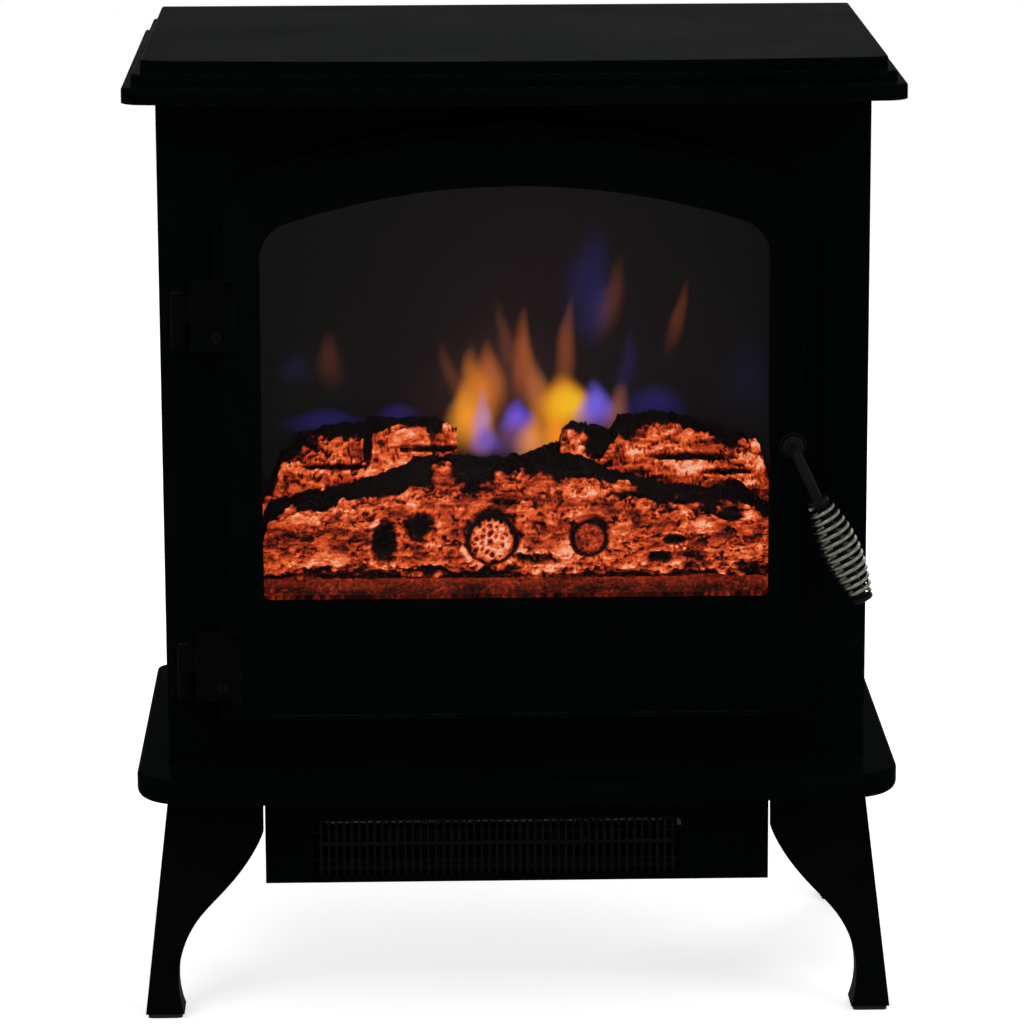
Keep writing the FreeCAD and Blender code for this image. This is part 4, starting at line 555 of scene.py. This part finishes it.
def shapeLog(look, share, angle, reach):
    x0, x1 = look["ends"]
    x = x0 + (x1 - x0) * share
    top = alongTable(look["top"], x)
    centre = look["low"] + (top - look["low"]) * look["centre"]
    high = top - centre
    ending = min(share, 1 - share) * (x1 - x0)
    narrow = look["swell"] + (1 - look["swell"]) * smooth(0, 16, ending)
    y = look["middle"] + look["deep"] * narrow * math.cos(angle) * reach
    z = centre + high * narrow * math.sin(angle) * reach
    lump, chip, fine, strand, crack = ruggedSkin(x, y, z, look["seed"])
    push = 2.6 * lump + 1.3 * (chip - 0.7) + 0.6 * fine + 1.6 * strand - 1.8 * crack
    # Painted glow amount for the emission: lower at cracks, knot rims, in hollows, on the crest, at the back and
    # towards the bottom; brighter in rings below knots and round hollow edges
    glowAmount = 0.62 + 0.42 * lump + 0.22 * (chip - 0.8) + 0.16 * fine + 0.26 * strand - 0.6 * crack
    front = smooth(0.1, 0.6, -math.cos(angle))
    for kx, kz, kr, kh, glow in look["knots"]:
        away = math.hypot((x - kx) / kr, (z - kz) / kh)
        if away < 1.7 and front > 0:
            rim = math.exp(-((away - 0.98) / 0.13) ** 2)
            ditch = math.exp(-((away - 1.22) / 0.12) ** 2)
            inside = smooth(1.0, 0.86, away)
            cells = noise.voronoi(Vector((x / 3.4 + 9, 0, z / 3.4)))[0]
            net = smooth(0.16, 0.4, cells[1] - cells[0])
            push = push * (1 - inside * 0.9) + front * (1.2 * rim - 2.6 * ditch + inside * (1.6 - 0.9 * (1 - net)))
            glowAmount = glowAmount * (1 - inside) + inside * (0.22 + 0.75 * glow * (1 - net)) - 0.8 * rim
            glowAmount -= 0.35 * ditch * smooth(-0.5, 0.9, (z - kz) / kr)
            glowAmount += 0.5 * glow * math.exp(-((away - 1.3) / 0.09) ** 2) * smooth(0.3, -0.8, (z - kz) / kr)
    for hx, hz, hr, hh, depth in look["hollows"]:
        away = math.hypot((x - hx) / hr, (z - hz) / hh) + 0.16 * fine
        if away < 1.6 and front > 0:
            dip = smooth(1.15, 0.5, away)
            push -= front * depth * dip
            glowAmount += 0.22 * math.exp(-((away - 1.22) / 0.16) ** 2) - 0.8 * dip
    crest = smooth(top - look["char"] + 6 * lump, top - look["char"] + 5 + 6 * lump, z)
    glowAmount -= 1.3 * crest
    push += 1.5 * crest * noise.noise(Vector((x / 6, y / 6, 2.0)))
    glowAmount -= 0.75 * smooth(0.15, -0.35, -math.cos(angle))
    glowAmount -= 0.42 * smooth(11, 0, z - look["low"] + 7 * fine + 5 * lump)
    push *= reach
    y += push * math.cos(angle)
    z += push * math.sin(angle)
    return x, y, max(z, look["low"]), min(max(glowAmount, 0.0), 1.0)


def addLog(name, look):
    bpy.ops.object.select_all(action="DESELECT")
    bpy.ops.mesh.primitive_cylinder_add(vertices=look["around"], radius=1, depth=1, end_fill_type="NGON")
    piece = bpy.context.object
    piece.name = piece.data.name = name
    bpy.ops.object.mode_set(mode="EDIT")
    bpy.ops.mesh.select_mode(type="FACE")
    bpy.ops.mesh.select_all(action="DESELECT")
    bpy.ops.object.mode_set(mode="OBJECT")
    for face in piece.data.polygons:
        face.select = abs(face.normal.z) > 0.9
    bpy.ops.object.mode_set(mode="EDIT")
    for width in (0.04, 0.10, 0.16, 0.2, 0.2, 0.2):
        bpy.ops.mesh.inset(thickness=width, use_individual=True)
    bpy.ops.mesh.poke()
    bpy.ops.mesh.select_mode(type="EDGE")
    for cuts in look["cuts"]:
        bpy.ops.mesh.select_all(action="DESELECT")
        bpy.ops.object.mode_set(mode="OBJECT")
        for edge in piece.data.edges:
            a, b = (piece.data.vertices[place].co for place in edge.vertices)
            edge.select = abs(a.z - b.z) > 0.001
        bpy.ops.object.mode_set(mode="EDIT")
        bpy.ops.mesh.subdivide(number_cuts=cuts)
    bpy.ops.mesh.select_all(action="SELECT")
    bpy.ops.mesh.normals_make_consistent(inside=False)
    bpy.ops.object.mode_set(mode="OBJECT")
    mesh = piece.data
    glowAmounts = []
    for vertex in mesh.vertices:
        reach = math.hypot(vertex.co.x, vertex.co.y)
        angle = math.atan2(vertex.co.y, vertex.co.x)
        x, y, z, glowAmount = shapeLog(look, vertex.co.z + 0.5, angle, min(reach, 1.0))
        vertex.co = (x * mm, y * mm, z * mm)
        glowAmounts.append(glowAmount)
    layer = mesh.attributes.new("glowLevel", "FLOAT", "POINT")
    layer.data.foreach_set("value", glowAmounts)
    bpy.ops.object.shade_smooth_by_angle(angle=math.radians(smoothAngle))
    mesh.materials.append(materialSet["log_resin"])
    mesh.update()
    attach(piece, "cabinet")
    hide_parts(look["node"])


for name, look in logSet.items():
    addLog(name, look)
print("logs made")


# Ember bed: a rounded front edge and grains on top, closed down to the tray
bedSet = {"node": "ember_bed", "cellsX": 420, "cellsY": 110, "rise": 1.6, "sink": 0.6, "frontDrop": 4,
          "frontRound": 9,
          "lump": (16, 12), "granule": 4.2}


def addBed():
    low, high = (Vector(corner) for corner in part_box(bedSet["node"]))
    bpy.ops.object.select_all(action="DESELECT")
    bpy.ops.mesh.primitive_grid_add(x_subdivisions=bedSet["cellsX"], y_subdivisions=bedSet["cellsY"],
                                    size=1)
    piece = bpy.context.object
    piece.name = piece.data.name = "emberBed"
    mesh = piece.data
    glowAmounts = []
    lumpX, lumpY = bedSet["lump"]
    granule = bedSet["granule"]
    for vertex in mesh.vertices:
        x = low.x + (vertex.co.x + 0.5) * (high.x - low.x)
        y = low.y + (vertex.co.y + 0.5) * (high.y - low.y)
        inward = (y - low.y) / mm
        u, v = x / mm, y / mm
        lump = noise.fractal(Vector((u / lumpX, v / lumpY, 4.0)), 0.8, 2.0, 4)
        near, second = noise.voronoi(Vector((u / granule, v / granule, lump)))[0][:2]
        chip = smooth(0.0, 0.4, second - near)
        edge = smooth(0, bedSet["frontRound"], inward)
        rise = 1.5 * lump + 1.7 * chip - 1.6
        drop = bedSet["frontDrop"] * (1 - edge) + bedSet["sink"]
        vertex.co = (x, y, high.z + (min(rise, bedSet["rise"]) * edge - drop) * mm)
        # Painted glow amount for the emission, lower towards the front edge of the bed
        glowAmounts.append(min(max(0.17 + 0.16 * lump + 0.15 * chip + 0.08 * smooth(0, 12, inward), 0.0), 1.0))
    layer = mesh.attributes.new("glowLevel", "FLOAT", "POINT")
    layer.data.foreach_set("value", glowAmounts)
    bpy.ops.object.mode_set(mode="EDIT")
    bpy.ops.mesh.select_all(action="SELECT")
    bpy.ops.mesh.extrude_region_move(TRANSFORM_OT_translate={"value": (0, 0, -mm)})
    bpy.ops.object.mode_set(mode="OBJECT")
    for vertex in mesh.vertices:
        if vertex.select:
            vertex.co.z = low.z
    bpy.ops.object.mode_set(mode="EDIT")
    bpy.ops.mesh.select_all(action="SELECT")
    bpy.ops.mesh.normals_make_consistent(inside=False)
    bpy.ops.object.mode_set(mode="OBJECT")
    bpy.ops.object.shade_smooth_by_angle(angle=math.radians(smoothAngle))
    mesh.materials.append(materialSet["ember_resin"])
    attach(piece, "cabinet")
    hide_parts(bedSet["node"])


addBed()
print("ember bed made")
